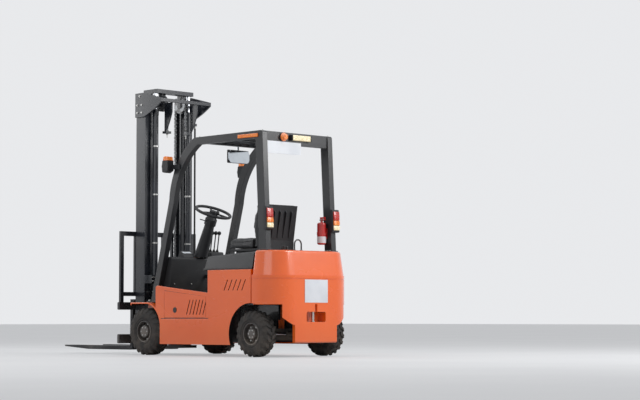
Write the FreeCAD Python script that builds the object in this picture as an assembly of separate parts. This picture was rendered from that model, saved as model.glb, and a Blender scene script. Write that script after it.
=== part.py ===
import FreeCAD, Part
import math
import os

# Compact four-wheel electric counterbalance forklift, 2.0 t class, millimetres.
# The shapes are drawn with X forward from the front axle, Y to the left and Z up from the floor.
# The last step moves everything along X, so that the origin is under the middle of the whole truck.

# Wheels and axles
WHEELBASE = 1490.0
TRACK = 900.0
FRONT_TYRE_R = 229.0
FRONT_TYRE_W = 175.0
REAR_TYRE_R = 213.0
REAR_TYRE_W = 150.0
TYRE_LUGS = 14
LUG_GAP = 20.0
LUG_DEPTH = 13.0
LUG_REACH = 44.0
SHOULDER_DROP = 44.0
SHOULDER_W = 24.0
RIM_R = 104.0
RIM_WALL = 11.0
RIM_INSET = 10.0
FRONT_SPINDLE_R = 35.0
REAR_SPINDLE_R = 27.0
SPINDLE_INSET = 23.0
BEARING_GAP = 0.05
KINGPIN_Y = 330.0
KINGPIN_R = 15.0
KNUCKLE_BOSS_R = 31.0
KNUCKLE_BOSS_HALF = 46.0
STEER_ARM = 65.0
STEER_ARM_Z = (175.0, 189.0)
STEER_ROD_R = 12.0
STEER_EYE_R = 15.0
STEER_EYE_HALF = 11.0
STEER_BARREL_R = 23.0
STEER_BARREL_HALF = 128.0
AXLE_BEAM_HALF_W = 250.0
AXLE_BEAM_HALF_T = 40.0
YOKE_Z = (48.0, 72.0)
YOKE_R = 34.0
AXLE_R = 62.0
GEAR_CASE_R = 120.0
GEAR_CASE_HALF_W = 95.0
BRAKE_R = 92.0
BRAKE_W = 31.0
MOTOR_R = 82.0
MOTOR_Y = (20.0, 232.0)
MOTOR_OFFSET = (-128.0, 40.0)

# Body
BODY_W = 1060.0
SIDE_T = 42.0
SILL_Z = 110.0
SILL_FRONT_X = -236.0
BODY_REAR_X = -1500.0
STEP_FRONT_X = -170.0
STEP_FRONT_Z = 670.0
STEP_REAR_X = -912.0
STEP_REAR_Z = 595.0
BATTERY_TOP_Z = 805.0
BATTERY_H = 313.0
BATTERY_SIDE_GAP = 78.0
BATTERY_END_GAP = 40.0
FENDER_TOP_Z = 510.0
FENDER_TIP_X = 200.0
FENDER_T = 13.0
FENDER_LIP = 26.0
EDGE_R = 5.0
GROOVE_Z = 360.0
GROOVE_H = 12.0
GROOVE_DEPTH = 5.0
REAR_ARCH_R = 282.0
TRAY_Z = 480.0
PLATE_T = 12.0
BELLY_LIFT = 20.0
FRAME_RAIL_Y = 325.0
FRAME_RAIL_T = 20.0
FRAME_FRONT_X = 150.0
COVER_GAP = 3.0
COVER_T = 14.0
COVER_FRONT_X = -300.0
COVER_TOP_Z = (622.0, 560.0)
CAP_X = -454.0
CAP_Z = 435.0
CAP_R = 25.5
CAP_STAND = 3.0
LOUVRE_W = 12.0
LOUVRE_DEPTH = 8.0
COVER_SLOTS = 6
REAR_SLOTS = 5
LOUVRE_ROWS = {  # first slot's foot, pitch, low edge, high edge, lean
    "cover": (-620.0, -46.0, 390.0, 530.0, 48.0),
    "rear": (-1140.0, -60.0, 613.0, 713.0, 50.0),
}
SEAT_GAP = 0.3

# Counterweight
CW_REAR_X = -1820.0
CW_FRONT_X = -1511.0
CW_TOP_Z = 980.0
CW_CREASE_Z = 752.0
CW_BAND_H = 30.0
CW_GROOVE = 5.0
CW_BOTTOM_Z = 130.0
CW_CORNER_R = 260.0
CW_TAPER = 38.0
CW_STEP = 5.0
CW_TOP_R = 22.0
CW_BOTTOM_R = 18.0
CW_FRONT_R = 26.0
CW_NECK_HALF_W = 275.0
CW_NECK_FRONT_X = -1640.0
WHEEL_SWEEP_R = 302.0
TOW_W = 250.0
TOW_Z = (322.0, 415.0)
TOW_DEPTH = 90.0
TOW_CORNER_R = 16.0
TOW_PIN_R = 14.0
TOW_PIN_INSET = 45.0
TOW_PIN_SINK = 60.0
TOW_PIN_TOP = 485.0
NUMBER_PLATE_T = 3.0
NUMBER_PLATE_HALF_W = 150.0
NUMBER_PLATE_Z = (500.0, 712.0)
HANDLE_X = -1700.0
HANDLE_Y = 120.0
HANDLE_R = 44.0
HANDLE_BAR_R = 7.0
HANDLE_H = 100.0

# Overhead guard
GUARD_HALF_W = 460.0
GUARD_TUBE_W = 60.0
GUARD_TOP_Z = 2085.0
GUARD_REAR_X = -1575.0
GUARD_FRONT_X = -640.0
GUARD_FOOT_T = 14.0
GUARD_FOOT_LAP = 12.0
REAR_LEG_FOOT_X = -1632.0
REAR_LEG_FOOT_T = 12.0
ROOF_BEAM_H = 70.0
ROOF_BARS = 7
ROOF_BAR_W = 22.0
ROOF_BAR_H = 38.0
ROOF_BAR_DROP = 14.0
ROOF_TIE_W = 30.0
REAR_LAMP_Z = (1165.0, 1382.0)
REAR_LAMP_DEPTH = 35.0
REAR_LENS_T = 14.0
HEAD_LAMP_W = 76.0
HEAD_LAMP_R = 33.0
HEAD_LAMP_X = (-345.0, -268.0)
HEAD_LAMP_Z = (1752.0, 1872.0)
MARKER_X = (-1520.0, -1255.0)
REAR_BEAM_FACE = GUARD_REAR_X + 5.0
BEACON_Y = 190.0
BEACON_R = 40.0
WORK_LAMP_Y = (-150.0, 90.0)
WORK_LAMP_T = 34.0
MIRROR_X = (-668.0, -640.0)
MIRROR_Y = (-240.0, 30.0)
MIRROR_Z = (1862.0, 1985.0)
EXTINGUISHER_R = 43.0
EXTINGUISHER_X = -1545.0
EXTINGUISHER_Z = (1050.0, 1262.0)

# Cowl, hood and seat
COWL_SIDE_GAP = 8.0
COWL_T = 12.0
COWL_TOP_Z = 950.0
HOOD_FRONT_X = -835.0
HOOD_REAR_X = -1498.0
HOOD_SIDE_END_X = -1486.0
HOOD_WALL = 12.0
HOOD_HALF_W = BODY_W / 2 - 30.0
HOOD_TAPER = 30.0
HOOD_FRONT_LEAN = 20.0
HOOD_RISE = 133.0
HOOD_SLOPE = 34.0
HOOD_FRONT_TOP_Z = BATTERY_TOP_Z + HOOD_RISE
HOOD_REAR_TOP_Z = HOOD_FRONT_TOP_Z + HOOD_SLOPE
HOOD_LIP = 5.0
HOOD_LIP_H = 16.0
LID_GAP = 0.5
HINGE_X = HOOD_REAR_X
HINGE_Z = HOOD_REAR_TOP_Z - 10.0
HINGE_BARREL_R = 8.0
HINGE_PIN_R = 4.0
HINGE_BARREL_Y = (236.0, 296.0)
HINGE_BRACKET_Y = (297.0, 327.0)
SEAT_X = (-1290.0, -880.0)
SEAT_HALF_W = 235.0
SEAT_RISE = 172.0
SEAT_TOP_Z = HOOD_FRONT_TOP_Z + SEAT_RISE
SEAT_PAD_T = 100.0
SEAT_PAN_T = 22.0
SEAT_BACK_T = 57.0
BOLSTER_W = 62.0
BOLSTER_H = 16.0
BACK_H = 330.0
BACK_TOP_Z = SEAT_TOP_Z + BACK_H
BACK_LEAN = 62.0

# Steering wheel, column, levers and pedals
WHEEL_CENTRE = (-410.0, 1390.0)
COLUMN_FOOT = (-215.0, 915.0)
COLUMN_R = 42.0
COLUMN_SHAFT_R = 11.0
HANDWHEEL_R = 172.0
HANDWHEEL_TUBE_R = 14.0
LEVER_YS = (-150.0, -195.0, -240.0)
PEDAL_YS = (-190.0, -60.0)

# Mast
TILT_X = 120.0
TILT_Z = 200.0
TILT_PIN_R = 20.0
MAST_REAR_X = 250.0
MAST_DEPTH = 137.0
OUTER_Y = 310.0
OUTER_WEB_T = 20.0
OUTER_FLANGE_Y = 240.0
OUTER_FLANGE_T = 18.0
OUTER_BOTTOM_Z = 60.0
INNER_TOP_Z = 2580.0
OUTER_TOP_Z = INNER_TOP_Z - 80.0
OUTER_ROLLER_R = 27.0
OUTER_ROLLER_DROP = 60.0
FOOT_PLATE_T = 28.0
FOOT_PLATE_X = 168.0
LOWER_TIE_Z = (700.0, 780.0)
LOWER_TIE_X = (142.0, 166.0)
TIE_X = 0.0
TIE_Z = (OUTER_TOP_Z - 14.0, OUTER_TOP_Z + 18.0)
WING_T = 18.0
HORN_Y = (160.0, 172.0)
HORN_FRONT_X = 122.0
ANCHOR_T = 23.0
INNER_Y = 235.0
INNER_WEB_Y = 208.0
INNER_WEB_T = 14.0
INNER_FLANGE_Y = 178.0
INNER_FLANGE_T = 18.0
INNER_DEPTH = 93.0
INNER_BOTTOM_Z = 120.0
CROSSHEAD_Z = INNER_TOP_Z + 50.0
CROSSHEAD_T = 40.0
CROSSHEAD_X = (155.0, 242.0)
GUIDE_ROLLER_R = 49.0
LIFT_CYL_X = 205.0
LIFT_CYL_Y = 215.0
LIFT_BARREL_R = 28.0
LIFT_BARREL_WALL = 6.0
LIFT_BARREL_TOP_Z = OUTER_TOP_Z - 70.0
LIFT_GLAND_H = 60.0
LIFT_ROD_R = 19.0
HOSE_X = 154.0
HOSE_Y = 262.0
HOSE_R = 9.0
HOSE_TOP_Z = LIFT_BARREL_TOP_Z - 140.0
SHEAVE_X = 215.0
SHEAVE_Y = 123.0
SHEAVE_Z = CROSSHEAD_Z - 138.0
SHEAVE_R = 72.0
SHEAVE_PIN_R = 12.0
CHAIN_T = 14.0
CHAIN_W = 26.0
CHAIN_PITCH = 62.0
CHAIN_NOTCH = 3.5
CHAIN_REAR_END_Z = OUTER_TOP_Z - 290.0
CHAIN_FRONT_END_Z = 520.0

# Carriage and forks
CARRIAGE_HALF_W = 510.0
CARRIAGE_X = 392.0
CARRIAGE_T = 32.0
CARRIAGE_BAR_Z = ((110.0, 200.0), (440.0, 515.0))
CARRIAGE_BEVEL = 8.0
CARRIAGE_PLATE_Y = 148.0
CARRIAGE_PLATE_T = 24.0
CARRIAGE_TOP_Z = 575.0
CARRIAGE_ROLLER_R = 27.5
CARRIAGE_ROLLER_Z = (190.0, 515.0)
FORK_STOP_YS = (-400.0, -325.0, -175.0, -100.0, 100.0, 175.0, 325.0, 400.0)
FORK_STOP_W = 14.0
FORK_LENGTH = 1070.0
FORK_W = 122.0
FORK_T = 40.0
FORK_BOTTOM_Z = 45.0
FORK_Y = 250.0
FORK_TIP_T = 12.0
FORK_TAPER = 420.0
FORK_HOOK_H = 30.0
BACKREST_TOP_Z = 1215.0
BACKREST_HALF_W = 495.0
BACKREST_BAR_YS = (-300.0, -180.0, -60.0, 60.0, 180.0, 300.0)
BACKREST_BAR_W = 24.0

# Tilt cylinders
TILT_ANCHOR = (-330.0, 400.0)
TILT_LUG = (215.0, 480.0)
TILT_CYL_Y = 275.0
TILT_BARREL_R = 34.0
TILT_BARREL_WALL = 8.0
TILT_BARREL_START = 55.0
TILT_BARREL_END = 330.0
TILT_GLAND = 40.0
TILT_ROD_R = 17.0
TILT_EYE_R = 24.0
TILT_EYE_HALF = 12.0
TILT_EYE_PLAY = 2.5
TILT_PIN_SMALL_R = 11.0
TILT_LUG_GAP = 19.0
TILT_LUG_T = 10.0

REAR_X = -WHEELBASE
HALF_W = BODY_W / 2
HALF_TRACK = TRACK / 2
MAST_FRONT_X = MAST_REAR_X + MAST_DEPTH
MAST_MID_X = MAST_REAR_X + MAST_DEPTH / 2
FORK_BACK_X = CARRIAGE_X + CARRIAGE_T
FORK_TIP_X = FORK_BACK_X + FORK_T + FORK_LENGTH
ORIGIN_X = (FORK_TIP_X + CW_REAR_X - SEAT_GAP - NUMBER_PLATE_T) / 2
GUARD_INNER_Y = GUARD_HALF_W - GUARD_TUBE_W
COLUMN_LENGTH = math.hypot(WHEEL_CENTRE[0] - COLUMN_FOOT[0], WHEEL_CENTRE[1] - COLUMN_FOOT[1])
ARC = "arc"

Vec = FreeCAD.Vector
X_AXIS, Y_AXIS, Z_AXIS = Vec(1, 0, 0), Vec(0, 1, 0), Vec(0, 0, 1)
ORIGIN = Vec(0, 0, 0)


# Shape helpers

def block(x, y, z):
    """A box between two values along each axis."""
    size = [abs(b - a) for a, b in (x, y, z)]
    return Part.makeBox(*size, Vec(min(x), min(y), min(z)))


def rod(start, end, radius):
    """A round bar between two points."""
    start, end = Vec(*start), Vec(*end)
    return Part.makeCylinder(radius, (end - start).Length, start, end - start)


def ring(start, end, radius, bore):
    """A tube between two points."""
    return rod(start, end, radius).cut(rod(start, end, bore))


def place(plane, u, v, at):
    """A point of a flat outline: XZ has its normal along Y, XY along Z and YZ along X."""
    return {"XZ": Vec(u, at, v), "XY": Vec(u, v, at), "YZ": Vec(at, u, v)}[plane]


def outline(points, plane, at):
    """A closed wire; a point marked ARC is the middle of the arc to the next point."""
    edges = []
    last = place(plane, points[0][0], points[0][1], at)
    middle = None
    for point in list(points[1:]) + [points[0]]:
        here = place(plane, point[0], point[1], at)
        if len(point) == 3:
            middle = here
            continue
        if middle is None:
            edges.append(Part.makeLine(last, here))
        else:
            edges.append(Part.Arc(last, middle, here).toShape())
        last, middle = here, None
    return Part.Wire(edges)


def prism(points, plane, low, high):
    """An outline drawn out between two values of the axis across its plane."""
    way = {"XZ": Y_AXIS, "XY": Z_AXIS, "YZ": X_AXIS}[plane]
    return Part.Face(outline(points, plane, low)).extrude(way * (high - low))


def turned(points, centre):
    """A profile of (radius, Y) points turned round a wheel's axle."""
    solid = Part.Face(outline(points, "XY", 0)).revolve(ORIGIN, Y_AXIS, 360)
    solid.translate(Vec(centre[0], 0, centre[1]))
    return solid


def fuse(*solids):
    """One solid from solids that touch or overlap."""
    return solids[0].multiFuse(list(solids[1:])).removeSplitter()


def cut(solid, *tools):
    """A solid less its tools."""
    for tool in tools:
        solid = solid.cut(tool)
    return solid


def mirrored(solid):
    """The same solid on the truck's other side."""
    return solid.mirror(ORIGIN, Y_AXIS)


def both(solid):
    """A solid and its twin on the other side."""
    return [solid, mirrored(solid)]


def rounded(solid, radius, choose):
    """Fillets on the edges that the function chooses."""
    edges = [edge for edge in solid.Edges if choose(edge.BoundBox)]
    return solid.makeFillet(radius, edges) if edges else solid


def save(node, *solids):
    """Writes the node's solids in the part's own frame."""
    shape = solids[0] if len(solids) == 1 else Part.makeCompound(list(solids))
    shape = shape.copy()
    shape.translate(Vec(-ORIGIN_X, 0, 0))
    shape.exportStep("parts/" + node + ".step")
    volume = sum(solid.Volume for solid in shape.Solids)
    print(node, len(shape.Solids), "solids", round(volume / 1e6, 2), "litres", shape.isValid())


# Body

def arch_point(degrees):
    """A point on the rear wheel arch, from straight behind the axle over the top."""
    angle = math.radians(degrees)
    return (REAR_X + REAR_ARCH_R * math.cos(angle), REAR_TYRE_R + REAR_ARCH_R * math.sin(angle))


def side_wall():
    """One thick side of the body with the fender's shoulder and the front half of the rear arch."""
    sill_angle = -math.degrees(math.asin((REAR_TYRE_R - SILL_Z) / REAR_ARCH_R))
    meet_angle = math.degrees(math.acos((BODY_REAR_X - REAR_X) / REAR_ARCH_R))
    middle = arch_point((sill_angle + meet_angle) / 2)
    corner = 25  # the round front corner of the step
    profile = [
        (SILL_FRONT_X, SILL_Z),
        arch_point(sill_angle),
        (middle[0], middle[1], ARC),
        arch_point(meet_angle),
        (BODY_REAR_X, BATTERY_TOP_Z),
        (STEP_REAR_X, BATTERY_TOP_Z),
        (STEP_REAR_X, STEP_REAR_Z),
        (STEP_FRONT_X - corner, STEP_FRONT_Z),
        (STEP_FRONT_X - corner * 0.29, STEP_FRONT_Z - corner * 0.32, ARC),
        (STEP_FRONT_X, STEP_FRONT_Z - corner),
        (STEP_FRONT_X, FENDER_TOP_Z),
        (STEP_FRONT_X, 434),
        (-219, 366, ARC),
        (SILL_FRONT_X, 290),
    ]
    wall = prism(profile, "XZ", HALF_W - SIDE_T, HALF_W)
    return rounded(wall, EDGE_R, lambda box: box.YMin > HALF_W - 1 and box.ZMin > STEP_REAR_Z - 1)


def fender():
    """The thin shelf over a front tyre, from its turned-down lip to the sill."""
    under = FENDER_TOP_Z - FENDER_T
    profile = [
        (FENDER_TIP_X, FENDER_TOP_Z),
        (-52, FENDER_TOP_Z),
        (-188, 437, ARC),
        (SILL_FRONT_X - FENDER_T, 290),
        (SILL_FRONT_X - FENDER_T, SILL_Z),
        (SILL_FRONT_X, SILL_Z),
        (SILL_FRONT_X, 290),
        (-178, 426, ARC),
        (-50, under),
        (FENDER_TIP_X - FENDER_T, under),
        (FENDER_TIP_X - FENDER_T, FENDER_TOP_Z - FENDER_LIP),
        (FENDER_TIP_X, FENDER_TOP_Z - FENDER_LIP),
    ]
    shelf = prism(profile, "XZ", FRAME_RAIL_Y + FRAME_RAIL_T, HALF_W)
    return rounded(shelf, EDGE_R, lambda box: box.YMin > HALF_W - 1 and box.ZMin > FENDER_TOP_Z - 1)


def louvres(row, count):
    """The cutters of one row of slanted slots."""
    first_x, pitch, low_z, high_z, lean = LOUVRE_ROWS[row]
    half = LOUVRE_W / 2
    slots = []
    for number in range(count):
        x = first_x + pitch * number
        top = x - lean
        slot = [(x - half, low_z), (x + half, low_z), (top + half, high_z), (top - half, high_z)]
        slots.append(prism(slot, "XZ", HALF_W - LOUVRE_DEPTH, HALF_W + 5))
    return slots


def side_groove():
    """The cutter of the long groove under the side cover, with its slanted lower lip."""
    section = [
        (HALF_W + 1, GROOVE_Z - COVER_GAP),
        (HALF_W - GROOVE_DEPTH, GROOVE_Z - COVER_GAP),
        (HALF_W - GROOVE_DEPTH, GROOVE_Z - COVER_GAP - GROOVE_H / 3),
        (HALF_W + 1, GROOVE_Z - COVER_GAP - GROOVE_H),
    ]
    rear_end = STEP_REAR_X - COVER_T
    return prism(section, "YZ", rear_end, SILL_FRONT_X - FENDER_T)


def body_side():
    """The left side of the body with its fender, groove, cover recess and rear row of slots."""
    recess = prism(cover_outline(0), "XZ", HALF_W - COVER_T, HALF_W + 1)
    return cut(fuse(side_wall(), fender()), recess, side_groove(), *louvres("rear", REAR_SLOTS))


def hinge_bracket():
    """The bracket of one hood hinge on the rear bulkhead, with its barrel and pin."""
    low, high = HINGE_BRACKET_Y
    leaf = block((BODY_REAR_X, BODY_REAR_X + PLATE_T / 2), HINGE_BRACKET_Y, (BATTERY_TOP_Z - 60, HINGE_Z))
    barrel = rod((HINGE_X, low, HINGE_Z), (HINGE_X, high, HINGE_Z), HINGE_BARREL_R)
    pin = rod((HINGE_X, HINGE_BARREL_Y[0] + 4, HINGE_Z), (HINGE_X, high, HINGE_Z), HINGE_PIN_R)
    return fuse(leaf, barrel, pin)


def tilt_anchors():
    """The two pairs of ears with their pins, where the tilt cylinders are hinged to the frame."""
    anchor_x, anchor_z = TILT_ANCHOR
    ear = 26
    gap = TILT_EYE_HALF + 2
    parts = []
    for side in (-1, 1):
        y = side * TILT_CYL_Y
        for near in (y - gap - TILT_LUG_T, y + gap):
            parts.append(block((anchor_x - ear, anchor_x + ear), (near, near + TILT_LUG_T),
                               (SILL_Z + BELLY_LIFT + PLATE_T / 2, anchor_z + ear)))
        reach = gap + TILT_LUG_T
        parts.append(rod((anchor_x, y - reach, anchor_z), (anchor_x, y + reach, anchor_z), TILT_PIN_SMALL_R))
    return parts


def chassis():
    """The welded middle: belly, bulkheads, battery tray, front frame rails and the cylinders' anchors."""
    inner = HALF_W - SIDE_T
    rail = (FRAME_RAIL_Y, FRAME_RAIL_Y + FRAME_RAIL_T)
    belly = (SILL_Z + BELLY_LIFT, SILL_Z + BELLY_LIFT + PLATE_T)
    fender_back = SILL_FRONT_X - FENDER_T
    arch_front = REAR_X + REAR_ARCH_R + FRAME_RAIL_T
    toe_board_top = 350
    nose = [
        (fender_back, belly[0]),
        (FRAME_FRONT_X - 40, belly[0]),
        (FRAME_FRONT_X, belly[0] + 60),
        (FRAME_FRONT_X, FENDER_TOP_Z),
        (fender_back, FENDER_TOP_Z),
    ]
    parts = both(prism(nose, "XZ", *rail))
    parts.append(block((arch_front, fender_back), (-inner, inner), belly))
    parts.append(block((fender_back, SILL_FRONT_X), (-rail[1], rail[1]), (belly[0], toe_board_top)))
    parts.append(block((arch_front, arch_front + PLATE_T), (-inner, inner), (belly[0], TRAY_Z)))
    parts.append(block((BODY_REAR_X, STEP_REAR_X), (-inner, inner), (TRAY_Z, TRAY_Z + PLATE_T)))
    parts.append(block((STEP_REAR_X - PLATE_T, STEP_REAR_X), (-inner, inner), (belly[0], BATTERY_TOP_Z)))
    parts.append(block((BODY_REAR_X, BODY_REAR_X + PLATE_T), (-inner, inner), (TRAY_Z, BATTERY_TOP_Z)))
    hanger_low = REAR_TYRE_R + YOKE_Z[0]
    parts += both(block((REAR_X - 8, REAR_X + 30), (95, 135), (hanger_low, TRAY_Z)))
    parts += both(hinge_bracket())
    parts += tilt_anchors()
    pin_end = OUTER_FLANGE_Y + 14
    parts += both(rod((TILT_X, FRAME_RAIL_Y, TILT_Z), (TILT_X, pin_end, TILT_Z), TILT_PIN_R))
    hole_end = rail[1] + 1
    axle_hole = rod((0, -hole_end, FRONT_TYRE_R), (0, hole_end, FRONT_TYRE_R), FRONT_SPINDLE_R + SEAT_GAP)
    return cut(fuse(*parts), axle_hole)


def cover_outline(gap):
    """The lift-off side cover's outline, smaller by a gap all round."""
    rear_x = STEP_REAR_X + 20
    return [
        (COVER_FRONT_X - gap, GROOVE_Z + gap),
        (rear_x + gap, GROOVE_Z + gap),
        (rear_x + gap, COVER_TOP_Z[1]),
        (COVER_FRONT_X - gap, COVER_TOP_Z[0] - gap),
    ]


def side_cover():
    """The left lift-off cover with its six slots and the socket of its round cap."""
    cover = prism(cover_outline(COVER_GAP), "XZ", HALF_W - COVER_T, HALF_W)
    socket = rod((CAP_X, HALF_W - COVER_T + 5, CAP_Z), (CAP_X, HALF_W + 5, CAP_Z), CAP_R + 0.5)
    return cut(cover, socket, *louvres("cover", COVER_SLOTS))


def side_caps():
    """The round black caps in the side covers."""
    return both(rod((CAP_X, HALF_W - COVER_T + 5, CAP_Z), (CAP_X, HALF_W + CAP_STAND, CAP_Z), CAP_R))


def floor_mat():
    """The black step floor and the riser under the hood's front."""
    inner = HALF_W - SIDE_T
    drop, sheet = 42, 14
    front_x, rear_x = STEP_FRONT_X - 60, STEP_REAR_X + 1
    floor = [
        (front_x, STEP_FRONT_Z - drop),
        (rear_x + sheet - 1, STEP_REAR_Z - drop + 22),
        (rear_x + sheet - 1, BATTERY_TOP_Z - 4),
        (rear_x, BATTERY_TOP_Z - 4),
        (rear_x, STEP_REAR_Z - drop + 22 - sheet),
        (front_x, STEP_FRONT_Z - drop - sheet),
    ]
    return prism(floor, "XZ", -inner, inner)


def cowl():
    """The black front cowl between the guard's front legs, open below, with its display hood."""
    low = FENDER_TOP_Z + 50
    outer = [
        (-30, low + 10),
        (-128, COWL_TOP_Z - 25),
        (-140, COWL_TOP_Z - 5, ARC),
        (-160, COWL_TOP_Z),
        (-225, COWL_TOP_Z),
        (-240, COWL_TOP_Z - 6, ARC),
        (-246, COWL_TOP_Z - 22),
        (-222, low + 50),
    ]
    inner = [(-60, low), (-150, COWL_TOP_Z - 25), (-222, COWL_TOP_Z - 22), (-206, low)]
    half = GUARD_INNER_Y - COWL_SIDE_GAP
    shell = prism(outer, "XZ", -half, half)
    shell = shell.cut(prism(inner, "XZ", COWL_T - half, half - COWL_T))
    foot_y = half - GUARD_FOOT_LAP + COWL_SIDE_GAP - SEAT_GAP
    feet = both(block((-205, -60), (half - 20, foot_y), (FENDER_TOP_Z, low + 20)))
    display = prism([(-150, COWL_TOP_Z - 5), (-166, COWL_TOP_Z + 52), (-180, COWL_TOP_Z + 58),
                     (-222, COWL_TOP_Z + 34), (-232, COWL_TOP_Z - 5)], "XZ", 95, 225)
    return fuse(shell, display, *feet)


def battery():
    """The battery as one block on its tray."""
    half = HALF_W - SIDE_T - BATTERY_SIDE_GAP
    low = TRAY_Z + PLATE_T
    x = (BODY_REAR_X + BATTERY_END_GAP, STEP_REAR_X - BATTERY_END_GAP)
    return block(x, (-half, half), (low, BATTERY_TOP_Z + 90))


# Counterweight

def plan(inset):
    """The counterweight's outline seen from above, smaller by an inset, with round rear corners."""
    half_width, rear_x, radius = HALF_W - inset, CW_REAR_X + inset, CW_CORNER_R - inset
    lean = radius * (1 - math.cos(math.radians(45)))
    return [
        (CW_FRONT_X, -half_width),
        (CW_FRONT_X, half_width),
        (rear_x + radius, half_width),
        (rear_x + lean, half_width - lean, ARC),
        (rear_x, half_width - radius),
        (rear_x, radius - half_width),
        (rear_x + lean, lean - half_width, ARC),
        (rear_x + radius, -half_width),
    ]


def cast_body():
    """The casting's outside: upright lower half with its crease band, leaning upper half, round edges."""
    lower = prism(plan(0), "XY", CW_BOTTOM_Z, CW_CREASE_Z)
    shoulder = outline(plan(CW_STEP), "XY", CW_CREASE_Z)
    top = outline(plan(CW_TAPER), "XY", CW_TOP_Z)
    upper = Part.makeLoft([shoulder, top], True, True)
    upper = rounded(upper, CW_FRONT_R, lambda box: box.ZMin > CW_TOP_Z - 1 and box.XMin > CW_FRONT_X - 1)
    front_end = CW_FRONT_X - CW_FRONT_R
    upper = rounded(upper, CW_TOP_R, lambda box: box.ZMin > CW_TOP_Z - 1 and box.XMin < front_end)
    lower = rounded(lower, CW_BOTTOM_R, lambda box: box.ZMax < CW_BOTTOM_Z + 1 and box.XMin < CW_FRONT_X - 1)
    groove_z = (CW_CREASE_Z - CW_BAND_H - CW_GROOVE, CW_CREASE_Z - CW_BAND_H)
    groove = prism(plan(-20), "XY", *groove_z).cut(prism(plan(CW_GROOVE), "XY", *groove_z))
    return fuse(cut(lower, groove), upper)


def counterweight():
    """The cast counterweight with its wheel arches, the steer axle's well and the tow pocket."""
    meet, over, between = arch_point(128), arch_point(100), arch_point(114)
    sweep = [
        (CW_FRONT_X + 50, CW_BOTTOM_Z - 50),
        (CW_FRONT_X + 50, REAR_TYRE_R + REAR_ARCH_R - 1),
        over,
        (between[0], between[1], ARC),
        meet,
        (-1781, 365, ARC),
        (CW_REAR_X - 5, 200),
        (CW_REAR_X - 5, CW_BOTTOM_Z - 50),
    ]
    tools = both(prism(sweep, "XZ", CW_NECK_HALF_W, HALF_W + 50))
    well = (CW_BOTTOM_Z - 10, REAR_TYRE_R + REAR_ARCH_R - 12)
    tools += both(rod((REAR_X, KINGPIN_Y, well[0]), (REAR_X, KINGPIN_Y, well[1]), WHEEL_SWEEP_R))
    tools.append(block((CW_NECK_FRONT_X, CW_FRONT_X + 10), (-HALF_W, HALF_W), well))
    pocket = block((CW_REAR_X - 10, CW_REAR_X + TOW_DEPTH), (-TOW_W / 2, TOW_W / 2), TOW_Z)
    tools.append(rounded(pocket, TOW_CORNER_R, lambda box: box.XLength > TOW_DEPTH / 2))
    pin_x = CW_REAR_X + TOW_PIN_INSET
    hole = TOW_PIN_R + 0.5
    tools.append(rod((pin_x, 0, TOW_Z[0] - TOW_PIN_SINK), (pin_x, 0, TOW_PIN_TOP), hole))
    tools.append(block((CW_REAR_X - 10, pin_x), (-hole, hole), (TOW_Z[1], TOW_PIN_TOP)))
    return cut(cast_body(), *tools)


def tow_pin():
    """The loose tow pin with its collar and tapered head, standing in the pocket."""
    pin_x = CW_REAR_X + TOW_PIN_INSET
    low, high = TOW_Z[0] - TOW_PIN_SINK + 0.5, TOW_PIN_TOP - 4
    shank = rod((pin_x, 0, low), (pin_x, 0, high - 10), TOW_PIN_R)
    head = Part.makeCone(TOW_PIN_R, TOW_PIN_R - 5, 10, Vec(pin_x, 0, high - 10), Z_AXIS)
    collar = rod((pin_x, 0, TOW_Z[0] + 0.3), (pin_x, 0, TOW_Z[0] + 8), TOW_PIN_R + 7)
    return fuse(shank, head, collar)


def rear_handle():
    """The bent steel loop on top of the counterweight."""
    low = CW_TOP_Z + SEAT_GAP
    bend_z = CW_TOP_Z + HANDLE_H - HANDLE_R
    bend = Part.makeTorus(HANDLE_R, HANDLE_BAR_R, Vec(HANDLE_X, HANDLE_Y, bend_z), X_AXIS)
    under = block((HANDLE_X - 20, HANDLE_X + 20), (HANDLE_Y - 80, HANDLE_Y + 80), (bend_z - 80, bend_z))
    parts = [bend.cut(under)]
    for side in (-1, 1):
        y = HANDLE_Y + side * HANDLE_R
        parts.append(rod((HANDLE_X, y, low), (HANDLE_X, y, bend_z), HANDLE_BAR_R))
        parts.append(rod((HANDLE_X, y, low), (HANDLE_X, y, low + 6), HANDLE_BAR_R + 8))
    return fuse(*parts)


def number_plate():
    """The blank white plate on the counterweight."""
    face = CW_REAR_X - SEAT_GAP
    return block((face - NUMBER_PLATE_T, face), (-NUMBER_PLATE_HALF_W, NUMBER_PLATE_HALF_W), NUMBER_PLATE_Z)


# Overhead guard

def guard_side():
    """The left side frame: front leg with its round bend, roof rail and rear leg."""
    roof = GUARD_TOP_Z
    foot_z = (FENDER_TOP_Z + GUARD_FOOT_T, CW_TOP_Z + REAR_LEG_FOOT_T)
    frame = [
        (-25, foot_z[0]),
        (-285, 1490),
        (-405, 1850, ARC),
        (GUARD_FRONT_X, roof - 10),
        (GUARD_REAR_X + 25, roof),
        (GUARD_REAR_X + 4, roof - 8, ARC),
        (GUARD_REAR_X - 4, roof - 30),
        (REAR_LEG_FOOT_X, foot_z[1]),
        (REAR_LEG_FOOT_X + 92, foot_z[1]),
        (GUARD_REAR_X + 89, roof - ROOF_BEAM_H - 50),
        (GUARD_REAR_X + 95, roof - ROOF_BEAM_H - 10, ARC),
        (GUARD_REAR_X + 130, roof - ROOF_BEAM_H),
        (GUARD_FRONT_X - 50, roof - ROOF_BEAM_H - 8),
        (-470, 1800, ARC),
        (-357, 1490),
        (-97, foot_z[0]),
    ]
    side = prism(frame, "XZ", GUARD_INNER_Y, GUARD_HALF_W)
    gusset = prism([(-92, foot_z[0]), (-145, foot_z[0]), (-122, foot_z[0] + 70)], "XZ",
                   GUARD_INNER_Y + GUARD_TUBE_W / 2 - 5, GUARD_INNER_Y + GUARD_TUBE_W / 2 + 5)
    return fuse(side, gusset)


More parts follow.
